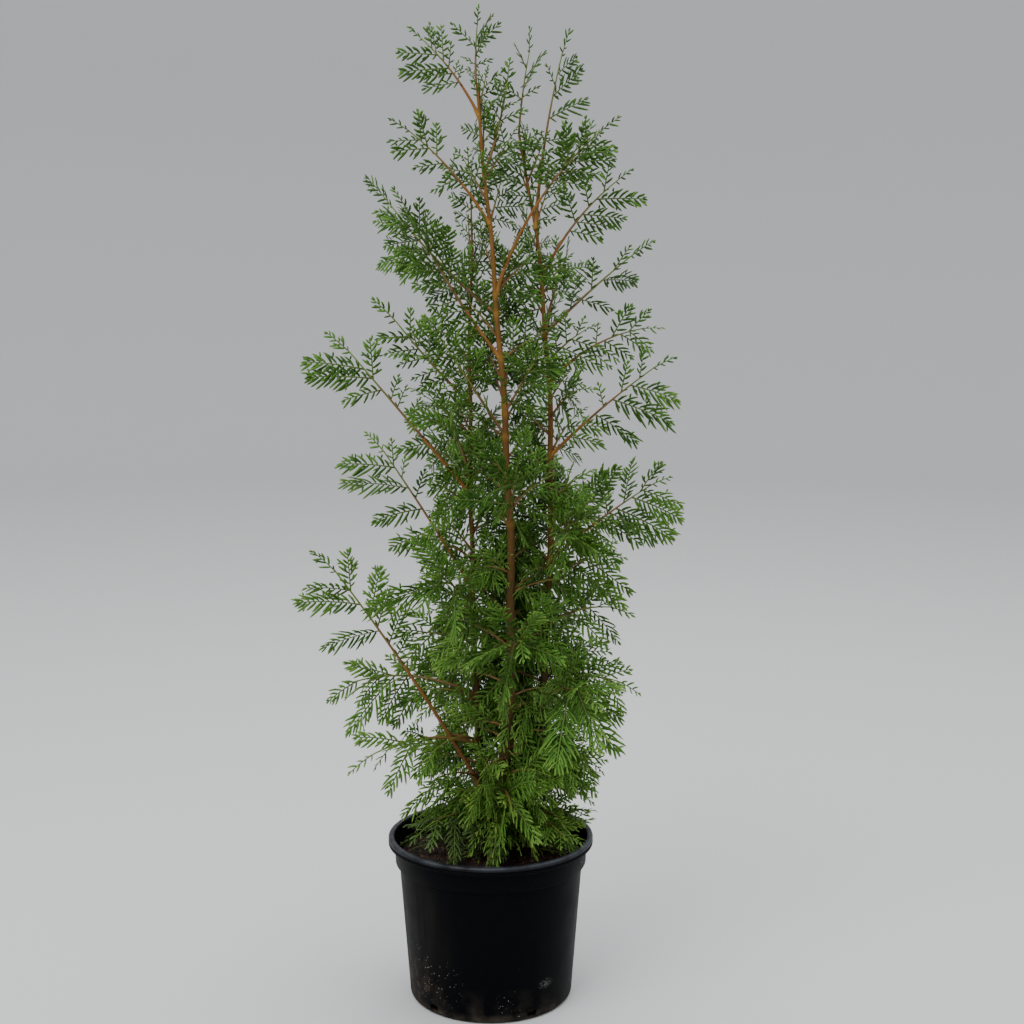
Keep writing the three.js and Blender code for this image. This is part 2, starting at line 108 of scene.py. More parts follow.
def unit(rows: np.ndarray) -> np.ndarray:
    """One vector, or rows of vectors, at length one."""
    return rows / np.linalg.norm(rows, axis=-1, keepdims=True)


def bearing(heading: float, rise: float) -> np.ndarray:
    """The unit vector of a direction.

    Args:
        heading: its compass heading from +X, in degrees.
        rise: its slope above the level, in degrees.

    Returns:
        The vector.
    """
    level = math.cos(math.radians(rise))
    turn = math.radians(heading)
    return np.array([level * math.cos(turn), level * math.sin(turn), math.sin(math.radians(rise))])


def turned(vector: np.ndarray, axis: np.ndarray, angle: float) -> np.ndarray:
    """A vector turned about an axis.

    Args:
        vector: the vector.
        axis: the axis, at length one.
        angle: the angle in radians.

    Returns:
        The turned vector.
    """
    return (
        vector * math.cos(angle)
        + np.cross(axis, vector) * math.sin(angle)
        + axis * axis.dot(vector) * (1 - math.cos(angle))
    )


class Seeded:
    """The same run of values between 0 and 1 for a seed on every machine."""

    FACTOR = 1664525
    STEP = 1013904223
    SPAN = 2**32

    def __init__(self, seed: int) -> None:
        """Starts the run at a seed."""
        self.state = seed

    def value(self) -> float:
        """The next value, from 0 to 1."""
        self.state = (self.state * self.FACTOR + self.STEP) % self.SPAN
        return self.state / self.SPAN

    def wobble(self) -> float:
        """The next value, from -1 to 1."""
        return 2 * self.value() - 1


class Curve:
    """A Bezier curve held by its stops, in millimetres."""

    NUDGE = 1e-4

    def __init__(self, *stops: Sequence[float]) -> None:
        """Keeps the stops of the curve."""
        self.stops = np.array(stops, float)

    def point(self, share: Value) -> np.ndarray:
        """Points on the curve.

        Args:
            share: one share of the curve from 0 to 1, or an array of them.

        Returns:
            One point, or one row for each share.
        """
        along = np.asarray(share, float)[..., None]
        stops = [stop + 0 * along for stop in self.stops]
        while len(stops) > 1:
            stops = [one + (other - one) * along for one, other in zip(stops, stops[1:])]
        return stops[0]

    def tangent(self, share: Value) -> np.ndarray:
        """The unit tangents at one or more shares."""
        ahead = self.point(np.clip(np.asarray(share) + self.NUDGE, 0, 1))
        return unit(ahead - self.point(np.clip(np.asarray(share) - self.NUDGE, 0, 1)))


@dataclass(frozen=True)
class StemPlan:
    """One stem: a cubic curve from its foot to its tip, with a taper and a flare at the foot."""

    foot: Triple
    lower: Triple
    upper: Triple
    tip: Triple
    foot_radius: float
    tip_radius: float
    flare: float
    flare_height: float = 16

    HALVINGS = 40

    @property
    def curve(self) -> Curve:
        """The line through the middle of the stem."""
        return Curve(self.foot, self.lower, self.upper, self.tip)

    def radius(self, height: Value) -> Value:
        """The stem's radius.

        Args:
            height: one height, or an array of them.

        Returns:
            The radius at each height.
        """
        rise = height - self.foot[2]
        taper = lerp(self.foot_radius, self.tip_radius, rise / (self.tip[2] - self.foot[2]))
        return taper + self.flare * np.exp(-rise / self.flare_height)

    def share(self, height: float) -> float:
        """Finds a height on the stem.

        Args:
            height: the height.

        Returns:
            The share of the curve at which the stem reaches it.
        """
        low, high = 0.0, 1.0
        for _ in range(self.HALVINGS):
            middle = (low + high) / 2
            if self.curve.point(middle)[2] < height:
                low = middle
            else:
                high = middle
        return low


STEMS = {
    "middle": StemPlan(
        (5, -10, STEM_FOOT), (54, -20, 520), (14, -12, 900), (-17, -8, 1222), 7.6, 1.7, 4
    ),
    "right": StemPlan(
        (47, 8, STEM_FOOT), (94, 16, 560), (94, 20, 910), (38, 14, 1162), 6.4, 1.6, 3
    ),
    "left": StemPlan(
        (-10, 12, STEM_FOOT), (-24, 22, 480), (-32, 24, 760), (-24, 18, 1040), 5, 1.4, 2.4
    ),
}

# Each side limb: name, stem, height, heading, rise, bend, length, bare share, sprays, longest, roll.
LIMB_ROWS = (
    ("apron_left", "left", 246, 222, 22, -52, 142, 0, 6, 62, 70),
    ("skirt_left", "left", 345, 203, 22, -56, 236, 0, 8, 88, 0),
    ("long_left", "left", 285, 186, 61, -8, 406, 0.5, 7, 94, 0),
    ("low_left", "left", 414, 171, 24, -52, 240, 0, 7, 88, 8),
    ("shoulder_left", "left", 560, 176, 59, -4, 262, 0.32, 8, 92, 0),
    ("reach_left", "left", 690, 184, 50, 0, 290, 0.34, 8, 100, 0),
    ("inner_left", "middle", 770, 194, 56, 0, 195, 0, 7, 72, 12),
    ("sweep_left", "left", 812, 192, 44, 10, 190, 0, 7, 76, 0),
    ("upper_left", "middle", 872, 178, 52, 14, 262, 0.3, 9, 92, 0),
    ("veil_left", "middle", 930, 162, 36, 20, 262, 0, 8, 88, -10),
    ("crown_left", "middle", 1045, 183, 60, -26, 188, 0.34, 7, 66, 0),
    ("top_left", "middle", 1182, 180, 64, -26, 146, 0.3, 7, 52, 0),
    ("apron_right", "right", 250, -62, 8, -32, 138, 0, 6, 58, 80),
    ("skirt_right", "right", 330, -14, 20, -58, 150, 0, 7, 76, 0),
    ("low_right", "right", 425, 8, 24, -56, 178, 0, 7, 84, 0),
    ("shoulder_right", "right", 512, -8, 36, -50, 166, 0, 7, 80, 0),
    ("reach_right", "right", 598, 4, 43, -14, 218, 0.4, 7, 84, 0),
    ("mid_right", "right", 742, -6, 46, -12, 212, 0.34, 7, 78, 0),
    ("inner_right", "middle", 800, -30, 58, -4, 130, 0, 6, 60, 10),
    ("arch_right", "right", 838, 2, 50, -46, 182, 0.36, 7, 66, 0),
    ("airy_right", "right", 905, 14, 44, -8, 200, 0, 7, 70, 10),
    ("cross_right", "middle", 955, -7, 73, -36, 288, 0.5, 7, 64, 0),
    ("crown_right", "right", 975, 4, 66, -32, 196, 0.34, 7, 66, 0),
    ("second_leader", "right", 1040, 20, 86, -12, 262, 0.4, 8, 56, 0),
    ("top_right", "middle", 1110, 8, 70, 14, 150, 0, 8, 52, 0),
)

# The limbs of the front and the back: heading, lowest, pitch, count, sprays and the stems in turn.
FACE_ROWS = {
    Side.FRONT: (-90, 288, 61, 8, 7, ("middle", "left", "right")),
    Side.BACK: (90, 292, 104, 7, 6, ("right", "left", "middle")),
}

# The leaders: name, stem, heading, bend, length, sprays, longest.
LEADER_ROWS = (
    ("middle_leader", "middle", 130, 16, 96, 6, 46),
    ("right_leader", "right", 20, -10, 136, 7, 52),
    ("left_leader", "left", 250, 8, 92, 5, 60),
)

# The sets of side shoots: name, count, heights, lengths, rises, bends, longest sprays, exceptions.
# A height counts from the compost up, or from the stem's tip where it is negative.
SHOOT_ROWS = (
    ("foot", 11, (6, 26), (112, 92), (7, 16), (-8, -24), (50, 60), {"sag": 0.3, "margin": 0.5}),
    ("dense", 46, (30, -270), (108, 92), (14, 52), (-72, -18), (62, 56), {"crowding": 1.75}),
    ("low", 9, (70, 290), (104, 100), (20, 30), (-70, -60), (60, 62), {"open_height": 300}),
    ("mid", 10, (170, 520), (108, 98), (24, 42), (-64, -34), (62, 58), {}),
    ("veil", 5, (140, 390), (72, 66), (26, 36), (-76, -64), (44, 42), {"open_height": 900}),
    ("top", 9, (-265, -30), (88, 58), (58, 68), (-12, 4), (50, 36), {}),
)


@dataclass
class Limb:
    """A limb: a bare bough over the first share of its length, then a mass of foliage."""

    name: str
    stem: str
    height: float
    heading: float
    rise: float
    bend: float
    length: float
    bare: float
    sprays: int
    longest: float
    roll: float
    side: Side
    round: bool = False
    leads: bool = False
    curve: Curve = field(init=False)
    base_radius: float = field(init=False)
    across: np.ndarray = field(init=False)

    LEAST_RADIUS = 1.5
    RADIUS_PER_LENGTH = 0.0042
    TIP_RADIUS = 0.36
    TWIG_END = 0.8

    def __post_init__(self) -> None:
        """Lays the limb out."""
        self.lay_out()

    def lay_out(self) -> None:
        """Lays the limb's curve out from its stem."""
        plan = STEMS[self.stem]
        if self.leads:
            start = plan.curve.point(1.0) + np.array([0, 0, GAP])
            self.base_radius = plan.tip_radius
        else:
            start = plan.curve.point(plan.share(self.height))
            self.base_radius = self.LEAST_RADIUS + self.RADIUS_PER_LENGTH * self.length
        middle = start + bearing(self.heading, self.rise) * self.length / 2
        end = middle + bearing(self.heading, self.rise + self.bend) * self.length / 2
        self.curve = Curve(start, middle, end)
        self.across = bearing(self.heading + 90, 0)

    def shorten(self, share: float) -> None:
        """Lays the limb out again, shorter.

        Args:
            share: the share of its length, and of its sprays' lengths, that stays.
        """
        self.length *= share
        self.longest *= share
        self.lay_out()

    @property
    def node(self) -> str:
        """The solid that holds the space of this limb's mass."""
        return f"foliage_{self.name}"

    @property
    def bough_node(self) -> str:
        """The solid of this limb's bare bough."""
        return f"bough_{self.name}"

    def twig_share(self, share: Value) -> Value:
        """The share of the whole limb at a share of its twig."""
        first = self.bare + GAP / self.length if self.bare > 0 else 0.0
        return lerp(first, lerp(self.bare, 1, self.TWIG_END), share)

    def radius(self, share: Value) -> Value:
        """The limb's radius at a share of its whole length."""
        return self.base_radius * lerp(1, self.TIP_RADIUS, np.minimum(share / self.TWIG_END, 1))


@dataclass
class Spray:
    """One flat spray: its root, its own axes and its length, in millimetres."""

    root: np.ndarray
    direction: np.ndarray
    normal: np.ndarray
    lateral: np.ndarray
    length: float
    rank: float
    sag: float

    WIDTH_SHARE = 0.24
    OUTLINE = (0.2, 0.92)

    def half_width(self, share: Value) -> Value:
        """Half the spray's width at a share of its length."""
        return self.length * self.WIDTH_SHARE * np.sin(math.pi * lerp(*self.OUTLINE, share))

    def along(self, share: Value) -> np.ndarray:
        """Points on the spray's own stalk, which sags towards its tip.

        Args:
            share: one share of the stalk from 0 to 1, or an array of them.

        Returns:
            One point, or one row for each share.
        """
        share = np.asarray(share, float)[..., None]
        return self.root + self.length * (
            self.direction * share - np.array([0, 0, self.sag]) * share**2
        )

    def tangents(self, share: Value) -> np.ndarray:
        """The unit tangents of the stalk."""
        share = np.asarray(share, float)[..., None]
        return unit(self.direction - np.array([0, 0, 2 * self.sag]) * share)


class Space:
    """Measures how near a point lies to every limb, so that each mass keeps to its own space."""

    STEPS = 8
    MARGIN = 1.2
    LIMB_CLEARANCE = 3.4
    FLOOR = SOIL_TOP + 2.5
    RIM_HEIGHT = POT_HEIGHT + 4
    RIM_INSIDE = RIM_RADIUS - RIM_WIDTH - 4

    def __init__(self, limbs: Sequence[Limb]) -> None:
        """Lays straight pieces along every stem, bough and twig.

        Args:
            limbs: all limbs, at their full lengths.
        """
        solids = []
        for plan in STEMS.values():
            points = plan.curve.point(np.linspace(0, 1, self.STEPS + 1))
            solids.append((points, plan.radius(points[:-1, 2])))
        for limb in limbs:
            if limb.bare > 0:
                points = limb.curve.point(np.linspace(0, limb.bare, self.STEPS + 1))
                solids.append((points, np.full(self.STEPS, limb.base_radius)))
        self.solid_starts = np.concatenate([points[:-1] for points, _ in solids])
        self.solid_ends = np.concatenate([points[1:] for points, _ in solids])
        self.solid_reach = np.concatenate([radius for _, radius in solids]) + self.LIMB_CLEARANCE
        axes = [limb.curve.point(np.linspace(limb.bare, 1, self.STEPS + 1)) for limb in limbs]
        self.axis_starts = np.concatenate([points[:-1] for points in axes])
        self.axis_ends = np.concatenate([points[1:] for points in axes])

    @staticmethod
    def distances(points: np.ndarray, starts: np.ndarray, ends: np.ndarray) -> np.ndarray:
        """Distances from each point to each straight piece.

        Args:
            points: one row for each point.
            starts: where each straight piece starts.
            ends: where each straight piece ends.

        Returns:
            One row for each point and one column for each piece.
        """
        line = ends - starts
        reach = points[:, None, :] - starts
        share = np.clip((reach * line).sum(-1) / (line * line).sum(-1), 0, 1)
        return np.linalg.norm(reach - share[..., None] * line, axis=-1)

    def above_ground(self, points: np.ndarray) -> bool:
        """Tells whether points are clear of the compost and the pot's rim.

        Args:
            points: one row for each point.

        Returns:
            True where all of them are.
        """
        level = np.hypot(points[:, 0], points[:, 1])
        buried = points[:, 2] < self.FLOOR
        touching = (points[:, 2] < self.RIM_HEIGHT) & (level > self.RIM_INSIDE)
        return not (buried | touching).any()

    def holds(self, index: int, points: np.ndarray) -> bool:
        """Tells whether points lie in the space of one mass.

        Args:
            index: the number of its limb.
            points: one row for each point.

        Returns:
            True where all of them do.
        """
        if not self.above_ground(points):
            return False
        near = self.distances(points, self.solid_starts, self.solid_ends)
        if (near < self.solid_reach).any():
            return False
        each = self.distances(points, self.axis_starts, self.axis_ends)
        each = each.reshape(len(points), -1, self.STEPS).min(-1)
        own = each[:, index] + self.MARGIN
        each[:, index] = np.inf
        return bool((each.min(-1) > own).all())


class Growth:
    """Grows the limbs, and the sprays of every mass by one seeded rule.

    A pair of values holds for the lowest and the highest limb, or the base and the tip of a twig.
    """

    # The limbs of the front and the back, and the leaders.
    FACE_SPREAD = 26
    FACE_TURN = {"left": -1.0, "middle": 0.25, "right": 1.0}
    FACE_RISE = (22, 58)
    FACE_BEND = (-56, -12)
    FACE_LENGTH = (190, 150)
    FACE_LONGEST = (128, 104)
    LEADER_RISE = 86

    # Where and how a spray leaves its twig.
    FIRST_ON_BOUGH = 0.08
    FIRST_ON_STEM = 0.16
    LAST_PLACE = 0.9
    TIP_PLACE = 0.96
    ROUND_TURN = 75
    ROLL_JITTER = 16
    FORK = (58, 34)
    FORK_JITTER = 8
    TILT = 0.34
    TWIST = 30
    DROOP = (0.4, 0.08)
    TIP_DROOP = 0.5
    SAG = 0.5
    SWELL = (0.5, 1)
    SWELL_ARC = (0.2, 1)
    SIDE_LENGTH = {1: 1.12, -1: 0.88}
    LENGTH_JITTER = 0.16

    # How a spray is made to fit.
    SHRINK_STEPS = (1, 0.84, 0.7, 0.58, 0.46)
    CHECKS = 10
    ACROSS = 5
    ROUND_TIP = 0.15

    # The finer sprays that fill a mass.
    SEED_STEP = 1009
    FILL_SEED = 7
    FILL_LENGTH = 0.82
    FILL_CHANCE = 0.4
    FILL_ROLL = 65
    FILL_JITTER = 0.3
    FULLER = {
        "upper_left": 2,
        "veil_left": 2,
        "inner_left": 2,
        "sweep_left": 1,
        "inner_right": 2,
        "cross_right": 2,
        "top_right": 1,
        "low_left": 1,
        "low_right": 1,
        "skirt_right": 1,
    }

    # The limbs that are shorter than the space of their solids, and the room over the pot.
    SHORTER = {
        "skirt_left": 0.94,
        "reach_right": 0.93,
        "skirt_right": 0.76,
        "low_right": 0.86,
        "shoulder_right": 0.78,
        "back_1": 0.85,
        "back_2": 0.96,
    }
    FOOT_HEIGHT = 316
    FOOT_REACH = 152
    FRONT_RIM = -126
    FRONT_VIEW = 262

    # The bare bough that no spray veils, as the camera sees it.
    IN_VIEW = "long_left"
    IN_VIEW_SPAN = (0.04, 0.85)
    IN_VIEW_STOPS = 9
    IN_VIEW_MARGIN = 15

    def __init__(self) -> None:
        """Lays out every limb and the space of its mass."""
        self.limbs = [*self.side_limbs(), *self.face_limbs(), *self.leader_limbs()]
        self.space = Space(self.limbs)
        for limb in self.limbs:
            limb.shorten(self.SHORTER.get(limb.name, 1))
        shown = next(limb for limb in self.limbs if limb.name == self.IN_VIEW)
        first, last = self.IN_VIEW_SPAN
        stops = np.linspace(first, last * shown.bare, self.IN_VIEW_STOPS)
        self.shown = shown.curve.point(stops)

    @staticmethod
    def side_limbs() -> list[Limb]:
        """The limbs of the left and right sides."""
        sides = [Side.LEFT if row[0].endswith("left") else Side.RIGHT for row in LIMB_ROWS]
        return [Limb(*row, side=side) for row, side in zip(LIMB_ROWS, sides)]

    def face_limbs(self) -> list[Limb]:
        """The limbs of the front and the back, evenly spaced up the stems.

        Returns:
            Those of the front, then those of the back, each from the lowest upwards.
        """
        limbs = []
        for side, (heading, lowest, pitch, count, sprays, stems) in FACE_ROWS.items():
            for number in range(count):
                rank = number / (count - 1)
                stem = stems[number % len(stems)]
                turn = self.FACE_TURN[stem] * (1 if side is Side.FRONT else -1)
                limb = Limb(
                    name=f"{side.value}_{number + 1}",
                    stem=stem,
                    height=lowest + number * pitch,
                    heading=heading + turn * self.FACE_SPREAD,
                    rise=lerp(*self.FACE_RISE, rank),
                    bend=lerp(*self.FACE_BEND, rank),
                    length=lerp(*self.FACE_LENGTH, rank),
                    bare=0,
                    sprays=sprays,
                    longest=lerp(*self.FACE_LONGEST, rank),
                    roll=0,
                    side=side,
                    round=True,
                )
                limbs.append(limb)
        return limbs

    def leader_limbs(self) -> list[Limb]:
        """The leaders, which carry on from the tips of the stems.

        Returns:
            One limb for each stem.
        """
        return [
            Limb(
                name=name,
                stem=stem,
                height=0,
                heading=heading,
                rise=self.LEADER_RISE,
                bend=bend,
                length=length,
                bare=0,
                sprays=sprays,
                longest=longest,
                roll=0,
                side=Side.CROWN,
                round=True,
                leads=True,
            )
            for name, stem, heading, bend, length, sprays, longest in LEADER_ROWS
        ]

    def fits(self, index: int, spray: Spray) -> bool:
        """Tells whether a spray stays within the space of its mass.

        Args:
            index: the number of its limb.
            spray: the spray.

        Returns:
            True where its whole outline does.
        """
        shares = np.repeat(np.arange(1, self.CHECKS + 1) / self.CHECKS, self.ACROSS)
        half = np.where(shares < 1, spray.half_width(shares), 0)
        aside = half * np.tile(np.linspace(-1, 1, self.ACROSS), self.CHECKS)
        reach = np.minimum(shares + self.ROUND_TIP * np.abs(aside) / (half + 1), 1)
        ahead = spray.length * reach
        points = spray.root + ahead[:, None] * spray.direction + aside[:, None] * spray.lateral
        return self.space.holds(index, points)

    def clear(self, spray: Spray, margin: float = 6) -> bool:
        """Tells whether a spray, where it sags, keeps off what it should neither touch nor hide.

        Args:
            spray: the spray.
            margin: the room under its stalk, in millimetres.

        Returns:
            True where it clears the pot and veils neither its rim nor the long bough.
        """
        points = spray.along(np.linspace(1 / self.CHECKS, 1, self.CHECKS))
        if self.veils(points):
            return False
        points = points - np.array([0, 0, margin])
        veiling = (points[:, 1] < self.FRONT_RIM) & (points[:, 2] < self.FRONT_VIEW)
        level = np.hypot(points[:, 0], points[:, 1])
        spread = (points[:, 2] < self.FOOT_HEIGHT) & (level > self.FOOT_REACH)
        return self.space.above_ground(points) and not (veiling | spread).any()

    def veils(self, points: np.ndarray) -> bool:
        """Tells whether points stand before the long bough as the camera sees it.

        Args:
            points: one row for each point.

        Returns:
            True where any of them does.
        """
        depth = self.shown[:, 1].mean()
        ahead = points[points[:, 1] < depth]
        seen = EYE + (ahead - EYE) * ((depth - EYE[1]) / (ahead[:, 1] - EYE[1]))[:, None]
        flat = np.array([1, 0, 1])
        near = Space.distances(seen * flat, self.shown[:-1] * flat, self.shown[1:] * flat)
        return bool((near < self.IN_VIEW_MARGIN).any())

    @staticmethod
    def within_box(spray: Spray) -> bool:
        """Whether a spray's tip keeps inside the box of the solids."""
        tip = spray.along(1.0) * MM
        return bool((tip > np.array(CAD_BOX[0])).all() and (tip < np.array(CAD_BOX[1])).all())

    @staticmethod
    def places(count: int) -> Iterable[tuple[int, float, int, bool]]:
        """The places of the sprays along a twig: step, rank, side, and whether it is the last."""
        for step in range(count):
            yield step, step / (count - 1), 1 if step % 2 == 0 else -1, step == count - 1

    def spray_at(
        self, limb: Limb, seeded: Seeded, step: int, rank: float, side: int, last: bool
    ) -> tuple[Spray, float]:
        """One spray of a mass, before it is made to fit.

        Args:
            limb: the limb that it grows on.
            seeded: the run of values for this mass.
            step: its place in the order along the twig.
            rank: its place along the twig, from 0 to 1.
            side: 1 or -1 for the two sides of the twig.
            last: whether it carries on from the twig's tip.

        Returns:
            The spray at full length, and that length.
        """
        first = self.FIRST_ON_BOUGH if limb.bare > 0 else self.FIRST_ON_STEM
        share = self.TIP_PLACE if last else lerp(first, self.LAST_PLACE, rank)
        along = limb.twig_share(share)
        root = limb.curve.point(along)
        tangent = limb.curve.tangent(along)
        spin = self.ROUND_TURN * step if limb.round else 0
        turn = math.radians(limb.roll + spin + self.ROLL_JITTER * seeded.wobble())
        plane = limb.across * math.cos(turn) + np.cross(tangent, limb.across) * math.sin(turn)
        fork = 0.0
        if not last:
            fork = math.radians(lerp(*self.FORK, rank) + self.FORK_JITTER * seeded.wobble())
        direction = tangent * math.cos(fork)
        direction = direction + np.cross(plane, tangent) * side * math.sin(fork)
        direction = direction + plane * self.TILT * seeded.wobble()
        droop = lerp(*self.DROOP, root[2] / STEMS["middle"].tip[2])
        direction[2] -= droop * lerp(1, self.TIP_DROOP, rank)
        direction = unit(direction)
        facing = bearing(limb.heading, 0) if limb.round and step % 2 == 1 and not last else plane
        normal = unit(facing - direction * facing.dot(direction))
        normal = turned(normal, direction, math.radians(self.TWIST * seeded.wobble()))
        swell = lerp(*self.SWELL, math.sin(math.pi * lerp(*self.SWELL_ARC, rank)))
        jitter = 1 + self.LENGTH_JITTER * seeded.wobble()
        full = limb.longest * swell * self.SIDE_LENGTH[side] * jitter
        if last:
            full = limb.length * (1 - along)
        lateral = np.cross(normal, direction)
        return Spray(root, direction, normal, lateral, full, rank, self.SAG * droop), full

    def fitted(self, index: int, spray: Spray, full: float) -> Iterable[Spray]:
        """Shortens a spray until it keeps to its space.

        Args:
            index: the number of its limb.
            spray: the spray.
            full: the length that it would have.

        Returns:
            The spray at its longest length, or nothing where none fits.
        """
        for shrink in self.SHRINK_STEPS:
            spray.length = full * shrink
            if self.fits(index, spray) and self.clear(spray):
                yield spray
                return

    def fillers(self, index: int, number: int, always: bool) -> Iterable[Spray]:
        """One round of finer sprays, which face the rule's own across the twig.

        Args:
            index: the number of the limb.
            number: the number of the round, by which it is turned and seeded.
            always: whether every place is filled, and not only some by chance.

        Returns:
            The sprays that fit.
        """
        limb = self.limbs[index]
        filler = replace(limb, roll=limb.roll + self.FILL_ROLL * number)
        seeded = Seeded(self.SEED_STEP * (index + 1) + self.FILL_SEED + number)
        for step, _, side, last in self.places(limb.sprays):
            if last:
                return
            rank = (step + self.FILL_JITTER * seeded.value()) / (limb.sprays - 1)
            spray, full = self.spray_at(filler, seeded, step, rank, -side, False)
            if always or seeded.value() < self.FILL_CHANCE:
                yield from self.fitted(index, spray, full * self.FILL_LENGTH)

    def sprays(self, index: int) -> list[Spray]:
        """Every spray of one mass: the rule's own, and the rounds of finer ones.

        Args:
            index: the number of the limb.

        Returns:
            The sprays that fit.
        """
        limb = self.limbs[index]
        found = []
        seeded = Seeded(self.SEED_STEP * (index + 1))
        for place in self.places(limb.sprays):
            found.extend(self.fitted(index, *self.spray_at(limb, seeded, *place)))
        more = self.FULLER.get(limb.name, 0)
        for number in range(1 + more):
            found.extend(self.fillers(index, number, more > 0 or limb.side is Side.BACK))
        return found


@dataclass
class Shoots:
    """Side shoots that grow straight from the stems and thicken the crown round them.

    Each pair of values holds for the lowest and for the highest shoot.
    """

    growth: Growth
    name: str
    count: int
    heights: Pair
    length: Pair
    rise: Pair
    bend: Pair
    longest: Pair
    crowding: float = 1.0
    open_height: float = 340
    sag: float = 1.0
    margin: float = 6

    SEED = 4021
    TURN = 137.5
    STEM_TURN = 60
    HEADING_JITTER = 24
    SIZE_JITTER = 0.2
    SLOPE_JITTER = 10
    ROLL_JITTER = 40
    OUTWARD = 0.4
    OUTWARD_HEIGHT = 600
    SPRAYS = 7
    SHORTER = 0.86

    @staticmethod
    def height(plan: StemPlan, mark: float) -> float:
        """A height from the compost up, or from the stem's tip where the mark is negative."""
        return plan.tip[2] + mark if mark < 0 else SOIL_TOP + mark

    def limbs(self) -> Iterable[Limb]:
        """The shoots of all three stems.

        Returns:
            The shoots of each stem in turn, from the lowest upwards.
        """
        for number, (stem, plan) in enumerate(STEMS.items()):
            seeded = Seeded(self.SEED + number)
            lowest, highest = (self.height(plan, mark) for mark in self.heights)
            for step in range(self.count):
                rank = step / (self.count - 1)
                height = lerp(lowest, highest, rank**self.crowding)
                heading = step * self.TURN + number * self.STEM_TURN
                heading += self.HEADING_JITTER * seeded.wobble()
                if height > self.open_height and self.in_the_way(stem, height, heading):
                    heading = -heading
                size = 1 + self.SIZE_JITTER * seeded.wobble()
                limb = Limb(
                    name=f"{self.name}_{stem}_{step}",
                    stem=stem,
                    height=height,
                    heading=heading,
                    rise=lerp(*self.rise, rank) + self.SLOPE_JITTER * seeded.wobble(),
                    bend=lerp(*self.bend, rank) + self.SLOPE_JITTER * seeded.wobble(),
                    length=lerp(*self.length, rank) * size,
                    bare=0,
                    sprays=self.SPRAYS,
                    longest=lerp(*self.longest, rank) * size,
                    roll=self.ROLL_JITTER * seeded.wobble(),
                    side=self.quarter(bearing(heading, 0)),
                )
                yield self.shortened(limb)

    def in_the_way(self, stem: str, height: float, heading: float) -> bool:
        """Tells whether a shoot would stand in front of the bare stems.

        Args:
            stem: the stem that it grows on.
            height: where it leaves the stem.
            heading: its compass heading.

        Returns:
            True where it points forwards, unless it is a high one that points outwards too.
        """
        towards = bearing(heading, 0)
        beside = Growth.FACE_TURN[stem] * towards[0] > self.OUTWARD
        return towards[1] < 0 and not (beside and height > self.OUTWARD_HEIGHT)

    @staticmethod
    def quarter(towards: np.ndarray) -> Side:
        """Names a side of the plant.

        Args:
            towards: a level direction.

        Returns:
            The side that it points to.
        """
        if abs(towards[0]) > abs(towards[1]):
            return Side.RIGHT if towards[0] > 0 else Side.LEFT
        return Side.BACK if towards[1] > 0 else Side.FRONT

    def shortened(self, limb: Limb) -> Limb:
        """Shortens a shoot until its twig is clear of the compost and the pot.

        Args:
            limb: the shoot.

        Returns:
            The same shoot.
        """
        while not self.growth.space.above_ground(limb.curve.point(np.linspace(0.2, 1, 8))):
            limb.bend *= self.SHORTER
            limb.shorten(self.SHORTER)
        return limb

    def grown(self, limb: Limb, seed: int) -> list[Spray]:
        """Grows the sprays of one shoot.

        Args:
            limb: the shoot.
            seed: the seed of its run of values.

        Returns:
            The sprays that stay clear of the compost and the pot.
        """
        found = []
        seeded = Seeded(seed)
        for place in self.growth.places(limb.sprays):
            spray, _ = self.growth.spray_at(limb, seeded, *place)
            spray.sag *= self.sag
            if self.growth.clear(spray, self.margin) and self.growth.within_box(spray):
                found.append(spray)
        return found


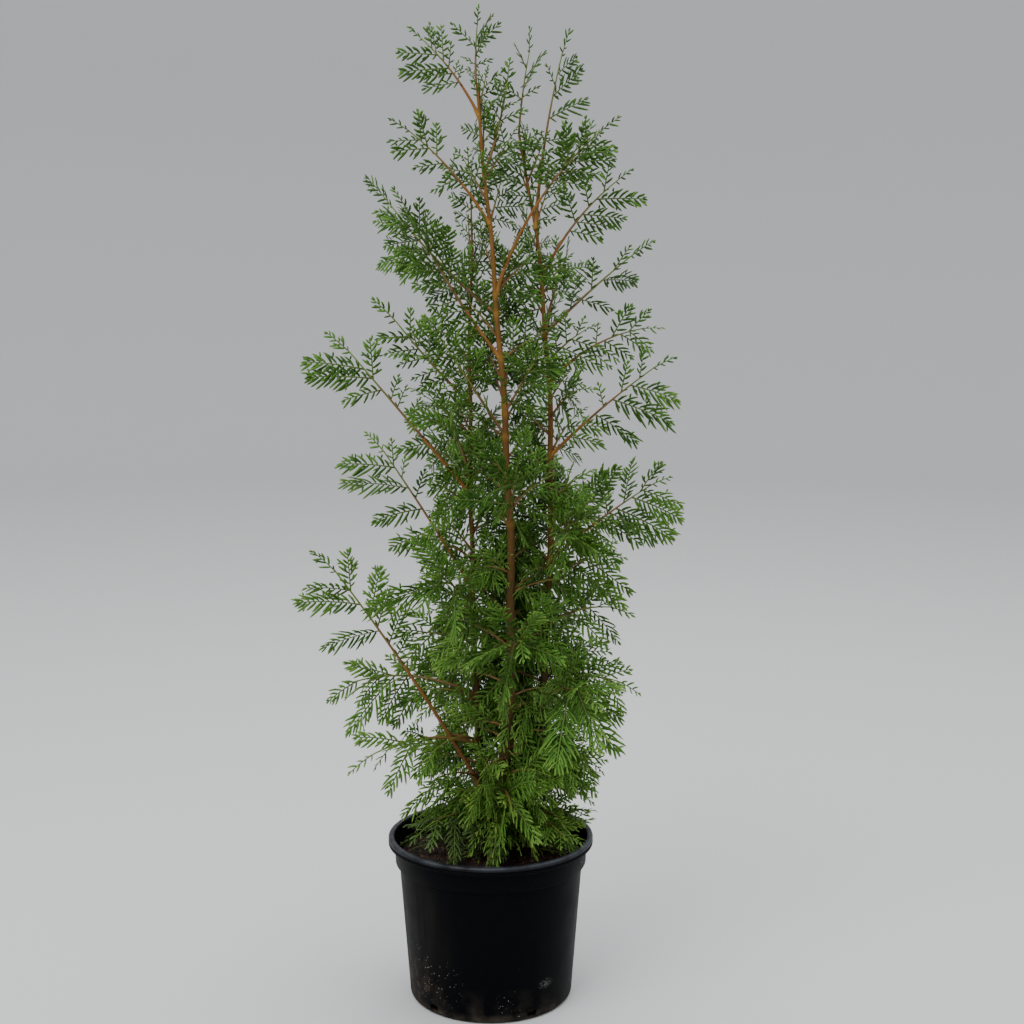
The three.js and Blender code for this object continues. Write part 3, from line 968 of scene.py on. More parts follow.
class Template:
    """A small closed shape made by mesh operators, which is copied many times."""

    FINGER_SWELL = (0.22, 0.82)
    ROUNDING = 4
    LEAST_SPREAD = 1e-4

    def __init__(self, mesh: bmesh.types.BMesh) -> None:
        """Keeps the vertices and triangles of a mesh, and frees it.

        Args:
            mesh: the shape.
        """
        bmesh.ops.triangulate(mesh, faces=mesh.faces)
        mesh.verts.index_update()
        self.points = np.array([vertex.co for vertex in mesh.verts])
        self.triangles = np.array([[v.index for v in face.verts] for face in mesh.faces])
        mesh.free()

    @classmethod
    def finger(cls, rings: int) -> "Template":
        """A flattened spindle along X with blunt ends.

        Args:
            rings: how many rings of four points lie between its two ends.

        Returns:
            The spindle, from 0 to 1 along X and half a unit each way across.
        """
        mesh = bmesh.new()
        bmesh.ops.create_uvsphere(mesh, u_segments=4, v_segments=rings + 1, radius=0.5)
        bmesh.ops.rotate(mesh, verts=mesh.verts, matrix=Matrix.Rotation(math.pi / 2, 3, "Y"))
        levels = sorted({round(vertex.co.x, cls.ROUNDING) for vertex in mesh.verts})
        for vertex in mesh.verts:
            step = levels.index(round(vertex.co.x, cls.ROUNDING))
            spread = math.hypot(vertex.co.y, vertex.co.z)
            share = 0.5 - 0.5 * math.cos(math.pi * step / (rings + 1))
            swell = math.sin(math.pi * lerp(*cls.FINGER_SWELL, share))
            scale = 0.5 * swell / spread if spread > cls.LEAST_SPREAD else 0
            vertex.co = Vector((share, vertex.co.y * scale, vertex.co.z * scale))
        return cls(mesh)

    @classmethod
    def tube(cls, sides: int, rings: int) -> "Template":
        """A closed tube along Z from 0 to 1, of radius 1.

        Args:
            sides: how many sides it has.
            rings: how many stretches it has along its length.

        Returns:
            The tube.
        """
        mesh = bmesh.new()
        ring = bmesh.ops.create_circle(mesh, cap_ends=True, segments=sides, radius=1)["verts"]
        bmesh.ops.reverse_faces(mesh, faces=mesh.faces)
        edges = list({edge for vertex in ring for edge in vertex.link_edges})
        for _ in range(rings):
            made = bmesh.ops.extrude_edge_only(mesh, edges=edges)["geom"]
            ring = [item for item in made if isinstance(item, bmesh.types.BMVert)]
            edges = [item for item in made if isinstance(item, bmesh.types.BMEdge)]
            edges = [edge for edge in edges if all(vertex in ring for vertex in edge.verts)]
            bmesh.ops.translate(mesh, verts=ring, vec=(0, 0, 1 / rings))
        bmesh.ops.contextual_create(mesh, geom=edges)
        bmesh.ops.recalc_face_normals(mesh, faces=mesh.faces)
        return cls(mesh)


class Joined:
    """Many copies of templates, joined into one mesh."""

    NUDGE = 1e-3

    def __init__(self) -> None:
        """Starts with nothing in it."""
        self.points: list[np.ndarray] = []
        self.triangles: list[np.ndarray] = []
        self.marks: list[np.ndarray] = []
        self.count = 0

    def add(
        self, points: np.ndarray, triangles: np.ndarray, marks: np.ndarray | None = None
    ) -> None:
        """Adds copies of one template.

        Args:
            points: vertices in millimetres, as copies by vertices by three.
            triangles: the template's triangles.
            marks: a value between 0 and 1 for each vertex, for the material to read.
        """
        copies, size = points.shape[:2]
        starts = self.count + size * np.arange(copies)
        self.points.append(points.reshape(-1, 3))
        self.triangles.append((triangles[None] + starts[:, None, None]).reshape(-1, 3))
        self.marks.append(np.zeros(copies * size) if marks is None else marks.reshape(-1))
        self.count += copies * size

    def tube(
        self,
        template: Template,
        path: Callable[[np.ndarray], np.ndarray],
        radius: np.ndarray | Callable[[np.ndarray], np.ndarray],
        across: np.ndarray,
        marks: Callable[[np.ndarray], np.ndarray],
    ) -> None:
        """Lays one tube along a path.

        Args:
            template: the straight tube.
            path: gives the middle of the tube at shares from 0 to 1.
            radius: the radius at each vertex, or a function of the shares.
            across: a direction that no part of the path follows.
            marks: gives the material's value at each share.
        """
        share = template.points[:, 2]
        middle = path(share)
        ahead = path(np.minimum(share + self.NUDGE, 1))
        tangent = unit(ahead - path(np.maximum(share - self.NUDGE, 0)))
        aside = unit(across - tangent * (tangent @ across)[:, None])
        upward = np.cross(tangent, aside)
        reach = radius(share) if callable(radius) else radius
        points = middle + reach[:, None] * (
            aside * template.points[:, :1] + upward * template.points[:, 1:2]
        )
        self.add(points[None], template.triangles, marks(share))

    def build(self, name: str, material: bpy.types.Material) -> bpy.types.Object:
        """Writes the joined mesh.

        Args:
            name: the piece's name.
            material: its finish.

        Returns:
            The new piece, linked to the scene.
        """
        points = np.concatenate(self.points) * MM
        triangles = np.concatenate(self.triangles)
        mesh = bpy.data.meshes.new(name)
        mesh.vertices.add(len(points))
        mesh.vertices.foreach_set("co", points.astype(np.float32).reshape(-1))
        mesh.loops.add(triangles.size)
        mesh.loops.foreach_set("vertex_index", triangles.astype(np.int32).reshape(-1))
        mesh.polygons.add(len(triangles))
        mesh.polygons.foreach_set("loop_start", np.arange(0, triangles.size, 3, dtype=np.int32))
        mesh.update(calc_edges=True)
        mesh.shade_smooth()
        marks = mesh.attributes.new("mark", "FLOAT", "POINT")
        marks.data.foreach_set("value", np.concatenate(self.marks).astype(np.float32))
        return placed(name, mesh, material)


def placed(name: str, mesh: bpy.types.Mesh, material: bpy.types.Material) -> bpy.types.Object:
    """Makes a piece of a mesh and links it to the scene.

    Args:
        name: the piece's name.
        mesh: its mesh.
        material: its finish.

    Returns:
        The piece.
    """
    mesh.materials.clear()
    mesh.materials.append(material)
    piece = bpy.data.objects.new(name, mesh)
    bpy.context.scene.collection.objects.link(piece)
    return piece


def handed_over(piece: bpy.types.Object, nodes: Iterable[str] = ()) -> None:
    """Rides a piece on the plant's one body and reports it.

    Args:
        piece: the piece.
        nodes: the solids that it stands for.
    """
    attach(piece, "root")
    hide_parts(*nodes)
    LOG.info("%s: %d faces", piece.name, len(piece.data.polygons))


def jitter(random: np.random.Generator, reach: float, count: int | None = None) -> Value:
    """One value, or so many of them, from -reach to reach."""
    return random.uniform(-reach, reach, count)


def spun(
    section: Iterable[Pair], steps: int, scale: float = MM, merge: float = 1e-6
) -> bmesh.types.BMesh:
    """Spins a section about the Z axis.

    Args:
        section: points as radius and height.
        steps: how many steps the full turn has.
        scale: the metres in one unit of the section.
        merge: how near two vertices lie that become one, in metres.

    Returns:
        The shape, with its faces turned outwards.
    """
    mesh = bmesh.new()
    vertices = [mesh.verts.new(Vector((x * scale, 0, z * scale))) for x, z in section]
    edges = [mesh.edges.new(pair) for pair in zip(vertices, vertices[1:])]
    bmesh.ops.spin(
        mesh,
        geom=vertices + edges,
        axis=(0, 0, 1),
        cent=(0, 0, 0),
        angle=2 * math.pi,
        steps=steps,
        use_merge=True,
    )
    bmesh.ops.remove_doubles(mesh, verts=mesh.verts, dist=merge)
    bmesh.ops.recalc_face_normals(mesh, faces=mesh.faces)
    return mesh


def written(name: str, shape: bmesh.types.BMesh) -> bpy.types.Mesh:
    """Writes a shape to a smooth mesh, and frees it.

    Args:
        name: the mesh's name.
        shape: the shape.

    Returns:
        The mesh.
    """
    mesh = bpy.data.meshes.new(name)
    shape.to_mesh(mesh)
    shape.free()
    mesh.shade_smooth()
    return mesh


@dataclass(frozen=True)
class Grain:
    """A noise pattern: its scale, its detail and its stretch along the axes."""

    scale: float
    detail: float
    stretch: Triple = (1, 1, 1)


@dataclass(frozen=True)
class Patch:
    """A patch: its middle, how far off it ends and is full, and its stretch along the axes."""

    centre: Triple
    ends: Pair
    stretch: Triple = (1, 1, 1)


class Sheet:
    """The nodes of one material, laid by short calls."""

    def __init__(self, name: str) -> None:
        """Starts a material with its shader and Object coordinates.

        Args:
            name: the material's name.
        """
        self.material = bpy.data.materials.new(name)
        self.material.use_nodes = True
        self.tree = self.material.node_tree
        self.shader = self.tree.nodes["Principled BSDF"]
        self.coords = self.tree.nodes.new("ShaderNodeTexCoord").outputs["Object"]

    def feed(self, node: bpy.types.Node, inputs: dict) -> None:
        """Feeds inputs of a node.

        Args:
            node: the node.
            inputs: a number, a colour or a socket for each input that is fed.
        """
        for key, value in inputs.items():
            if isinstance(value, Socket):
                self.tree.links.new(value, node.inputs[key])
            else:
                node.inputs[key].default_value = value

    def node(self, kind: str, inputs: dict, **settings: object) -> bpy.types.Node:
        """Adds a node.

        Args:
            kind: its type.
            inputs: what its inputs are fed.
            settings: its own settings.

        Returns:
            The node.
        """
        made = self.tree.nodes.new(kind)
        for key, value in settings.items():
            setattr(made, key, value)
        self.feed(made, inputs)
        return made

    def stretched(self, stretch: Triple) -> Socket:
        """The Object coordinates, stretched along the axes."""
        made = self.node("ShaderNodeMapping", {"Vector": self.coords, "Scale": stretch})
        return made.outputs["Vector"]

    def noise(self, grain: Grain) -> Socket:
        """A noise pattern.

        Args:
            grain: its numbers.

        Returns:
            Its value from 0 to 1.
        """
        inputs = {
            "Vector": self.stretched(grain.stretch),
            "Scale": grain.scale,
            "Detail": grain.detail,
        }
        return self.node("ShaderNodeTexNoise", inputs).outputs["Fac"]

    def band(self, value: Socket, ends: Pair) -> Socket:
        """Maps a value to the range from 0 to 1, and holds it there.

        Args:
            value: the value.
            ends: the values that become 0 and 1.

        Returns:
            The new value.
        """
        inputs = {"Value": value, "From Min": ends[0], "From Max": ends[1]}
        return self.node("ShaderNodeMapRange", inputs).outputs["Result"]

    def maths(self, operation: str, one: object, other: object) -> Socket:
        """Two values joined by an arithmetic operation."""
        return self.node("ShaderNodeMath", {0: one, 1: other}, operation=operation).outputs[0]

    def times(self, one: object, other: object) -> Socket:
        """Two values multiplied."""
        return self.maths("MULTIPLY", one, other)

    def plus(self, one: object, other: object) -> Socket:
        """Two values added."""
        return self.maths("ADD", one, other)

    def mix(self, share: object, one: object, other: object) -> Socket:
        """Mixes two colours.

        Args:
            share: how much of the second there is.
            one: the first, as a colour or a socket.
            other: the second, as a colour or a socket.

        Returns:
            The mixed colour.
        """
        pair = [(*colour, 1) if isinstance(colour, tuple) else colour for colour in (one, other)]
        inputs = {0: share, 6: pair[0], 7: pair[1]}
        return self.node("ShaderNodeMix", inputs, data_type="RGBA").outputs[2]

    def height(self) -> Socket:
        """The height on the object."""
        return self.node("ShaderNodeSeparateXYZ", {"Vector": self.coords}).outputs["Z"]

    def patch(self, patch: Patch) -> Socket:
        """A patch on the surface.

        Args:
            patch: its place and size.

        Returns:
            A value that is 1 at its middle and 0 outside it.
        """
        aim = tuple(part * times for part, times in zip(patch.centre, patch.stretch))
        inputs = {0: self.stretched(patch.stretch), 1: aim}
        away = self.node("ShaderNodeVectorMath", inputs, operation="DISTANCE")
        return self.band(away.outputs["Value"], patch.ends)

    def mark(self) -> Socket:
        """The piece's own mark attribute."""
        return self.node("ShaderNodeAttribute", {}, attribute_name="mark").outputs["Fac"]

    def finish(
        self, colour: Socket, roughness: object, specular: object, height: Socket, depth: float
    ) -> bpy.types.Material:
        """Feeds the shader.

        Args:
            colour: the base colour.
            roughness: a number, or a socket where it varies.
            specular: a number, or a socket where it varies.
            height: the height of the relief.
            depth: how far the relief stands up, in metres.

        Returns:
            The material.
        """
        bump = self.node("ShaderNodeBump", {"Height": height, "Distance": depth, "Strength": 1.0})
        inputs = {
            "Normal": bump.outputs["Normal"],
            "Base Color": colour,
            "Roughness": roughness,
            "Specular IOR Level": specular,
        }
        self.feed(self.shader, inputs)
        return self.material


@dataclass(frozen=True)
class LeafFinish:
    """Scale leaves in one plain colour with a slight mottle, fresher towards the tips."""

    tint: Tint
    colour: Colour
    shade: Colour
    fresh: Colour

    ROUGHNESS = 0.46
    SPECULAR = 0.18
    MOTTLE = Grain(70, 2)
    MOTTLED = (0.35, 0.65)
    FRESHENED = (0.5, 1.1)
    SKIN = Grain(1400, 1)
    RELIEF = 0.0003

    def material(self) -> bpy.types.Material:
        """The finish as a material.

        Returns:
            The material.
        """
        sheet = Sheet(f"scale_leaf_{self.tint.value}")
        mottle = sheet.band(sheet.noise(self.MOTTLE), self.MOTTLED)
        colour = sheet.mix(mottle, self.shade, self.colour)
        colour = sheet.mix(sheet.band(sheet.mark(), self.FRESHENED), colour, self.fresh)
        skin = sheet.noise(self.SKIN)
        return sheet.finish(colour, self.ROUGHNESS, self.SPECULAR, skin, self.RELIEF)


@dataclass(frozen=True)
class BarkFinish:
    """Young bark: reddish brown above, darker and greyer below, with orange joints."""

    name: str
    young: Colour
    old: Colour
    joint: Colour
    heights: Pair

    FIBRES = Grain(620, 4, (1, 1, 0.12))
    RIDGED = (0.5, 0.68)
    RIDGE_SHARE = 0.22
    PATCHES = Grain(55, 3, (1, 1, 0.5))
    PATCHED = (0.4, 0.62)
    PATCH_SHARE = 0.5
    PATCH_SHADE = 0.55
    LEAST_FRESH = 0.15
    MOST_FRESH = 0.85
    ROUGHNESS = 0.72
    SPECULAR = 0.2
    RELIEF = 0.0006

    def material(self) -> bpy.types.Material:
        """The finish as a material.

        Returns:
            The material.
        """
        sheet = Sheet(self.name)
        age = sheet.band(sheet.height(), self.heights)
        fibres = sheet.noise(self.FIBRES)
        patches = sheet.times(sheet.band(sheet.noise(self.PATCHES), self.PATCHED), self.PATCH_SHARE)
        dim = tuple(self.PATCH_SHADE * part for part in self.young)
        colour = sheet.mix(patches, sheet.mix(age, self.old, self.young), dim)
        fresh = sheet.times(sheet.plus(age, self.LEAST_FRESH), self.MOST_FRESH)
        ridges = sheet.times(sheet.band(fibres, self.RIDGED), self.RIDGE_SHARE)
        colour = sheet.mix(sheet.times(ridges, fresh), colour, self.joint)
        colour = sheet.mix(sheet.times(sheet.mark(), fresh), colour, self.joint)
        return sheet.finish(colour, self.ROUGHNESS, self.SPECULAR, fibres, self.RELIEF)


@dataclass(frozen=True)
class TwigFinish:
    """Twigs that pass from brown bark at the base to green at the tip."""

    name: str
    base: Colour
    tip: Colour

    FIBRES = Grain(900, 3, (1, 1, 0.3))
    FIBRE_SHARE = 0.2
    GREENED = (0.45, 0.95)
    ROUGHNESS = 0.6
    SPECULAR = 0.5
    RELIEF = 0.0003

    def material(self) -> bpy.types.Material:
        """The finish as a material.

        Returns:
            The material.
        """
        sheet = Sheet(self.name)
        fibres = sheet.noise(self.FIBRES)
        share = sheet.plus(sheet.mark(), sheet.times(fibres, self.FIBRE_SHARE))
        colour = sheet.mix(sheet.band(share, self.GREENED), self.base, self.tip)
        return sheet.finish(colour, self.ROUGHNESS, self.SPECULAR, fibres, self.RELIEF)


@dataclass(frozen=True)
class PotFinish:
    """Black moulded plastic with dust, splashes of soil, specks, one scuff, and a worn rim with a
    painted highlight.

    A pair says at which height, distance or value a layer ends, and at which it is full.
    """

    black: Colour = (0.0017, 0.002, 0.0027)
    # The lighter bluish top of the rim: partly wear, partly a painted highlight that stands in for
    # the sky's reflection.
    rim: Colour = (0.022, 0.026, 0.037)
    dust: Colour = (0.054, 0.045, 0.036)
    stain: Colour = (0.045, 0.029, 0.02)
    speck: Colour = (0.4, 0.4, 0.38)

    GRIME = Grain(38, 5)
    LOW = (0.05, 0.0)
    LOW_GRIME = (0.45, 0.75)
    LOW_SHARE = 0.7
    HEEL = (0.014, 0.002)
    HEEL_GRIME = (0.3, 0.6)
    FLANK = Patch((-0.13, -0.02, 0.11), (0.13, 0.02))
    STREAKS = Grain(60, 4, (1, 1, 0.12))
    STREAKED = (0.35, 0.7)
    STREAK_SHARE = 0.5
    SPLASH = Patch((-0.1, -0.052, 0.022), (0.066, 0.01))
    CLOTS = Grain(85, 5)
    CLOTTED = (0.5, 0.62)
    SPECKS_PER_METRE = 210.0
    SPECK_SIZE = (0.15, 0.09)
    SPECK_CLOUDS = Grain(24, 2)
    SPECKED = (0.6, 0.76)
    SPECK_HEIGHTS = (0.1, 0.02)
    SPATTER = Patch((-0.078, -0.066, 0.052), (0.066, 0.03))
    SPATTERED = (0.36, 0.52)
    SCUFF = Patch((0.074, -0.0876, 0.047), (0.014, 0.002), (1, 1, 1.7))
    SCRATCHES = Grain(330, 5, (1, 1, 1.5))
    SCRATCHED = (0.44, 0.72)
    SCUFF_SHARE = 0.45
    # The heights of the rim's top, where wear and a painted highlight lighten the colour, and the
    # grime values that break them up.
    RIM_WEAR_AND_HIGHLIGHT = (0.219, 0.2245)
    RIM_WEAR_AND_HIGHLIGHT_GRIME = (0.2, 0.6)
    ROUGHNESS = 0.3
    GRIME_ROUGHNESS = 0.25
    DUST_ROUGHNESS = 0.4
    SPECULAR = 0.035
    WORN_SPECULAR = 0.45
    SKIN = Grain(480, 4)
    RELIEF = 0.00025

    def dusty(self, sheet: Sheet, grime: Socket) -> Socket:
        """How dusty the surface is: at the foot, round the heel and in streaks on one flank.

        Args:
            sheet: the material's nodes.
            grime: the pattern that breaks the dust up.

        Returns:
            The share of dust.
        """
        low = sheet.times(sheet.band(sheet.height(), self.LOW), self.LOW_SHARE)
        low = sheet.times(sheet.band(grime, self.LOW_GRIME), low)
        heel = sheet.band(sheet.height(), self.HEEL)
        heel = sheet.times(heel, sheet.band(grime, self.HEEL_GRIME))
        streaks = sheet.band(sheet.noise(self.STREAKS), self.STREAKED)
        flank = sheet.times(sheet.patch(self.FLANK), streaks)
        return sheet.plus(sheet.plus(low, heel), sheet.times(flank, self.STREAK_SHARE))

    def specked(self, sheet: Sheet) -> Socket:
        """Where pale specks lie: a spatter at the left front and a few round the foot.

        Args:
            sheet: the material's nodes.

        Returns:
            The share of speck.
        """
        inputs = {"Vector": sheet.coords, "Scale": self.SPECKS_PER_METRE}
        specks = sheet.node("ShaderNodeTexVoronoi", inputs).outputs["Distance"]
        clouds = sheet.noise(self.SPECK_CLOUDS)
        foot = sheet.band(sheet.height(), self.SPECK_HEIGHTS)
        sparse = sheet.times(sheet.band(clouds, self.SPECKED), foot)
        spatter = sheet.times(sheet.patch(self.SPATTER), sheet.band(clouds, self.SPATTERED))
        where = sheet.maths("MAXIMUM", sparse, spatter)
        return sheet.times(sheet.band(specks, self.SPECK_SIZE), where)

    def material(self) -> bpy.types.Material:
        """The finish as a material.

        Returns:
            The material.
        """
        sheet = Sheet("black_plastic")
        grime = sheet.noise(self.GRIME)
        dusty = self.dusty(sheet, grime)
        # The top of the rim, broken up by grime: wear with a painted highlight in the rim colour, and
        # a glossier finish.
        rim_wear_and_highlight = sheet.band(sheet.height(), self.RIM_WEAR_AND_HIGHLIGHT)
        rim_wear_and_highlight = sheet.times(rim_wear_and_highlight, sheet.band(grime, self.RIM_WEAR_AND_HIGHLIGHT_GRIME))
        clots = sheet.band(sheet.noise(self.CLOTS), self.CLOTTED)
        splash = sheet.times(sheet.patch(self.SPLASH), clots)
        scratches = sheet.band(sheet.noise(self.SCRATCHES), self.SCRATCHED)
        scuff = sheet.times(sheet.patch(self.SCUFF), scratches)
        colour = sheet.mix(rim_wear_and_highlight, self.black, self.rim)
        colour = sheet.mix(dusty, colour, self.dust)
        colour = sheet.mix(splash, colour, self.stain)
        colour = sheet.mix(sheet.times(scuff, self.SCUFF_SHARE), colour, self.speck)
        colour = sheet.mix(self.specked(sheet), colour, self.speck)
        rough = sheet.plus(sheet.times(grime, self.GRIME_ROUGHNESS), self.ROUGHNESS)
        rough = sheet.plus(rough, sheet.times(dusty, self.DUST_ROUGHNESS))
        specular = sheet.plus(sheet.times(rim_wear_and_highlight, self.WORN_SPECULAR), self.SPECULAR)
        return sheet.finish(colour, rough, specular, sheet.noise(self.SKIN), self.RELIEF)


@dataclass(frozen=True)
class CompostFinish:
    """Damp bark compost, or the chips that lie in it."""

    name: str
    light: Colour
    dark: Colour

    CRUMBS = Grain(260, 5)
    LIT = (0.38, 0.64)
    ROUGHNESS = 0.9
    SPECULAR = 0.5
    RELIEF = 0.002

    def material(self) -> bpy.types.Material:
        """The finish as a material.

        Returns:
            The material.
        """
        sheet = Sheet(self.name)
        crumbs = sheet.noise(self.CRUMBS)
        colour = sheet.mix(sheet.band(crumbs, self.LIT), self.dark, self.light)
        return sheet.finish(colour, self.ROUGHNESS, self.SPECULAR, crumbs, self.RELIEF)


# For each tint its colour, its shade and its fresh tips.
LEAF_COLOURS = {
    Tint.DULL: ((0.08, 0.135, 0.04), (0.047, 0.085, 0.024), (0.114, 0.18, 0.057)),
    Tint.DEEP: ((0.042, 0.11, 0.009), (0.02, 0.066, 0.005), (0.07, 0.158, 0.014)),
    Tint.MID: ((0.085, 0.198, 0.023), (0.054, 0.142, 0.015), (0.133, 0.266, 0.034)),
    Tint.FRESH: ((0.132, 0.264, 0.039), (0.092, 0.2, 0.028), (0.2, 0.34, 0.056)),
    Tint.TIP: ((0.22, 0.33, 0.045), (0.16, 0.265, 0.035), (0.32, 0.41, 0.075)),
}
LEAVES = {tint: LeafFinish(tint, *colours) for tint, colours in LEAF_COLOURS.items()}
STEM_BARK = BarkFinish(
    "young_bark",
    young=(0.175, 0.083, 0.018),
    old=(0.034, 0.027, 0.009),
    joint=(0.28, 0.155, 0.025),
    heights=(0.42, 0.9),
)
LIMB_BARK = BarkFinish(
    "limb_bark",
    young=(0.215, 0.095, 0.022),
    old=(0.13, 0.065, 0.02),
    joint=(0.33, 0.18, 0.03),
    heights=(0.2, 0.6),
)
TWIG_BARK = TwigFinish("twig_bark", base=(0.15, 0.078, 0.018), tip=(0.1, 0.17, 0.012))
STALK_BARK = TwigFinish("stalk_bark", base=(0.08, 0.1, 0.012), tip=(0.06, 0.14, 0.006))
COMPOST = CompostFinish("compost_crumbs", light=(0.03, 0.0125, 0.007), dark=(0.005, 0.003, 0.002))
CHIPS = {
    CompostFinish("chip_brown", (0.11, 0.036, 0.016), (0.035, 0.012, 0.006)): 0.4,
    CompostFinish("chip_dark", (0.03, 0.014, 0.008), (0.009, 0.005, 0.0035)): 0.5,
    CompostFinish("chip_pale", (0.2, 0.115, 0.06), (0.085, 0.045, 0.024)): 0.1,
}


@dataclass
class Fingers:
    """The fingers of all sprays of one side, as rows of numbers, and the meshes made of them.

    A pair of values holds for short and for long sprays, or for the base and the tip of a stalk.
    """

    side: Side
    rows: list[np.ndarray] = field(default_factory=list)

    LONG_SPRAY = 90.0
    LEAST_COUNT = 6
    PITCH = (4.7, 3.7)
    PLACES = (0.05, 0.96)
    PLACE_JITTER = 0.008
    FORK = (60, 38)
    FORK_JITTER = 8
    LIFT = 0.28
    REACH = (0.66, 1.22)
    SPREAD = (1.36, 1.0)
    WIDTH = (2.9, 3.6)
    SLENDER = 13.0
    LEAST_WIDTH = 0.65
    BEND = 0.2
    BENDS = (0.5, 1.4)
    YELLOWING = 0.3
    FRESH_JITTER = 0.12
    TOP_LENGTH = 7.0
    TOP_SHARE = 0.12
    THICKNESS = 0.36
    HANG = 0.16

    # The finer fingers that fork off some of them.
    FINE_COUNT = 2
    FINE_START = 5.04
    FINE_STEP = 6.5
    FINE_ROOM = 8.4
    FINE_CHANCE = 0.5
    FINE_FORK = math.radians(44)
    FINE_SHARE = 0.42
    FINE_LENGTH = 3.0
    FINE_WIDTH = 0.78
    FINE_FRESHER = 0.05

    # Where the columns of a row part, and the freshness at which each tint after the first starts.
    PARTINGS = (3, 6, 9, 12, 13, 14, 15, 16)
    TINT_STEPS = (0, 0.3, 0.58, 0.86)

    @classmethod
    def columns(cls, rows: np.ndarray) -> list[np.ndarray]:
        """Parts rows into root, axis, aside, flat, length, width, bend, freshness and kind."""
        return np.split(rows, cls.PARTINGS, axis=-1)

    def keep(self, kind: int, *columns: np.ndarray) -> np.ndarray:
        """Stores fingers of one kind, 0 for coarse and 1 for fine, and gives their rows."""
        self.rows.append(np.column_stack([*columns, np.full(len(columns[0]), kind)]))
        return self.rows[-1]

    def add(self, spray: Spray, freshness: float, random: np.random.Generator) -> None:
        """Lays the fingers of one spray along its stalk.

        Args:
            spray: the spray.
            freshness: how yellow the spray is, from 0 to 1, or less where it is dull.
            random: the run of values for jitter.
        """
        size = min(1.0, spray.length / self.LONG_SPRAY)
        count = max(self.LEAST_COUNT, round(spray.length / lerp(*self.PITCH, size)))
        share = np.linspace(*self.PLACES, count) + jitter(random, self.PLACE_JITTER, count)
        side = np.where(np.arange(count) % 2 == 0, 1.0, -1.0)
        tangent = spray.tangents(share)
        flat = unit(np.cross(tangent, spray.lateral))
        fork = np.radians(lerp(*self.FORK, share) + jitter(random, self.FORK_JITTER, count))
        lift = jitter(random, self.LIFT, count)
        axis = tangent * np.cos(fork)[:, None] + spray.lateral * (side * np.sin(fork))[:, None]
        axis = unit(axis + flat * lift[:, None])
        reach = spray.half_width(share) / np.sin(fork) * random.uniform(*self.REACH, count)
        reach = reach * lerp(*self.SPREAD, size)
        bend = -side * self.BEND * random.uniform(*self.BENDS, count)
        fresh = freshness + self.YELLOWING * share + jitter(random, self.FRESH_JITTER, count)
        if freshness >= 0:
            fresh = np.maximum(fresh, 0)
        width = lerp(*self.WIDTH, size) * np.clip(reach / self.SLENDER, self.LEAST_WIDTH, 1)
        aside = np.cross(flat, axis)
        rows = self.keep(0, spray.along(share), axis, aside, flat, reach, width, bend, fresh)
        self.keep(
            0,
            spray.along(self.PLACES[-1:]),
            spray.tangents([1.0]),
            spray.lateral[None],
            flat[-1:],
            np.array([max(self.TOP_LENGTH, self.TOP_SHARE * spray.length)]),
            width.mean(keepdims=True),
            np.zeros(1),
            fresh[-1:],
        )
        for step in range(self.FINE_COUNT):
            chosen = random.random(count) < self.FINE_CHANCE
            start = self.FINE_START + self.FINE_STEP * step
            chosen &= reach > start + self.FINE_ROOM
            self.fork(rows[chosen], start, side[chosen, None] * (1 if step % 2 else -1))

    def fork(self, rows: np.ndarray, start: float, hand: np.ndarray) -> None:
        """Lays one finer finger on each of some fingers.

        Args:
            rows: the fingers that are forked.
            start: how far along them the finer ones start, in millimetres.
            hand: 1 or -1 for the side on which each finer one stands.
        """
        root, axis, aside, flat, length, width, bend, fresh, _ = self.columns(rows)
        root = root + axis * start
        root = root + aside * (bend * length * (start / length) ** 2)
        fine = axis * np.cos(self.FINE_FORK) + aside * (hand * np.sin(self.FINE_FORK))
        self.keep(
            1,
            root,
            fine,
            np.cross(flat, fine),
            flat,
            (length - start) * self.FINE_SHARE + self.FINE_LENGTH,
            self.FINE_WIDTH * width,
            -hand * self.BEND,
            fresh + self.FINE_FRESHER,
        )

    def build(self, templates: Sequence[Template], nodes: Sequence[str]) -> None:
        """Makes one piece for each tint.

        Args:
            templates: the coarse and the fine finger.
            nodes: the solids that these sprays stand for.
        """
        rows = np.concatenate(self.rows)
        fresh, kinds = rows[:, -2:].T
        steps = np.digitize(fresh, self.TINT_STEPS)
        for step, tint in enumerate(Tint):
            joined = Joined()
            for kind, template in enumerate(templates):
                some = rows[(steps == step) & (kinds == kind)]
                marks = np.broadcast_to(template.points[:, 0], (len(some), len(template.points)))
                joined.add(self.spread(some, template), template.triangles, marks)
            if joined.count:
                name = f"sprays_{self.side.value}_{tint.value}"
                piece = joined.build(name, LEAVES[tint].material())
                handed_over(piece, nodes if tint is Tint.MID else ())

    def spread(self, rows: np.ndarray, template: Template) -> np.ndarray:
        """Copies a template to fingers.

        Args:
            rows: the fingers.
            template: the shape of one.

        Returns:
            The vertices in millimetres, as fingers by vertices by three.
        """
        root, axis, aside, flat, length, width, bend, *_ = self.columns(rows[:, None])
        x, y, z = np.split(template.points[None], 3, axis=-1)
        return (
            root
            + axis * (x * length)
            + aside * (y * width + bend * length * x**2)
            + flat * (z * width * self.THICKNESS)
            - np.array([0, 0, self.HANG]) * length * x**2
        )


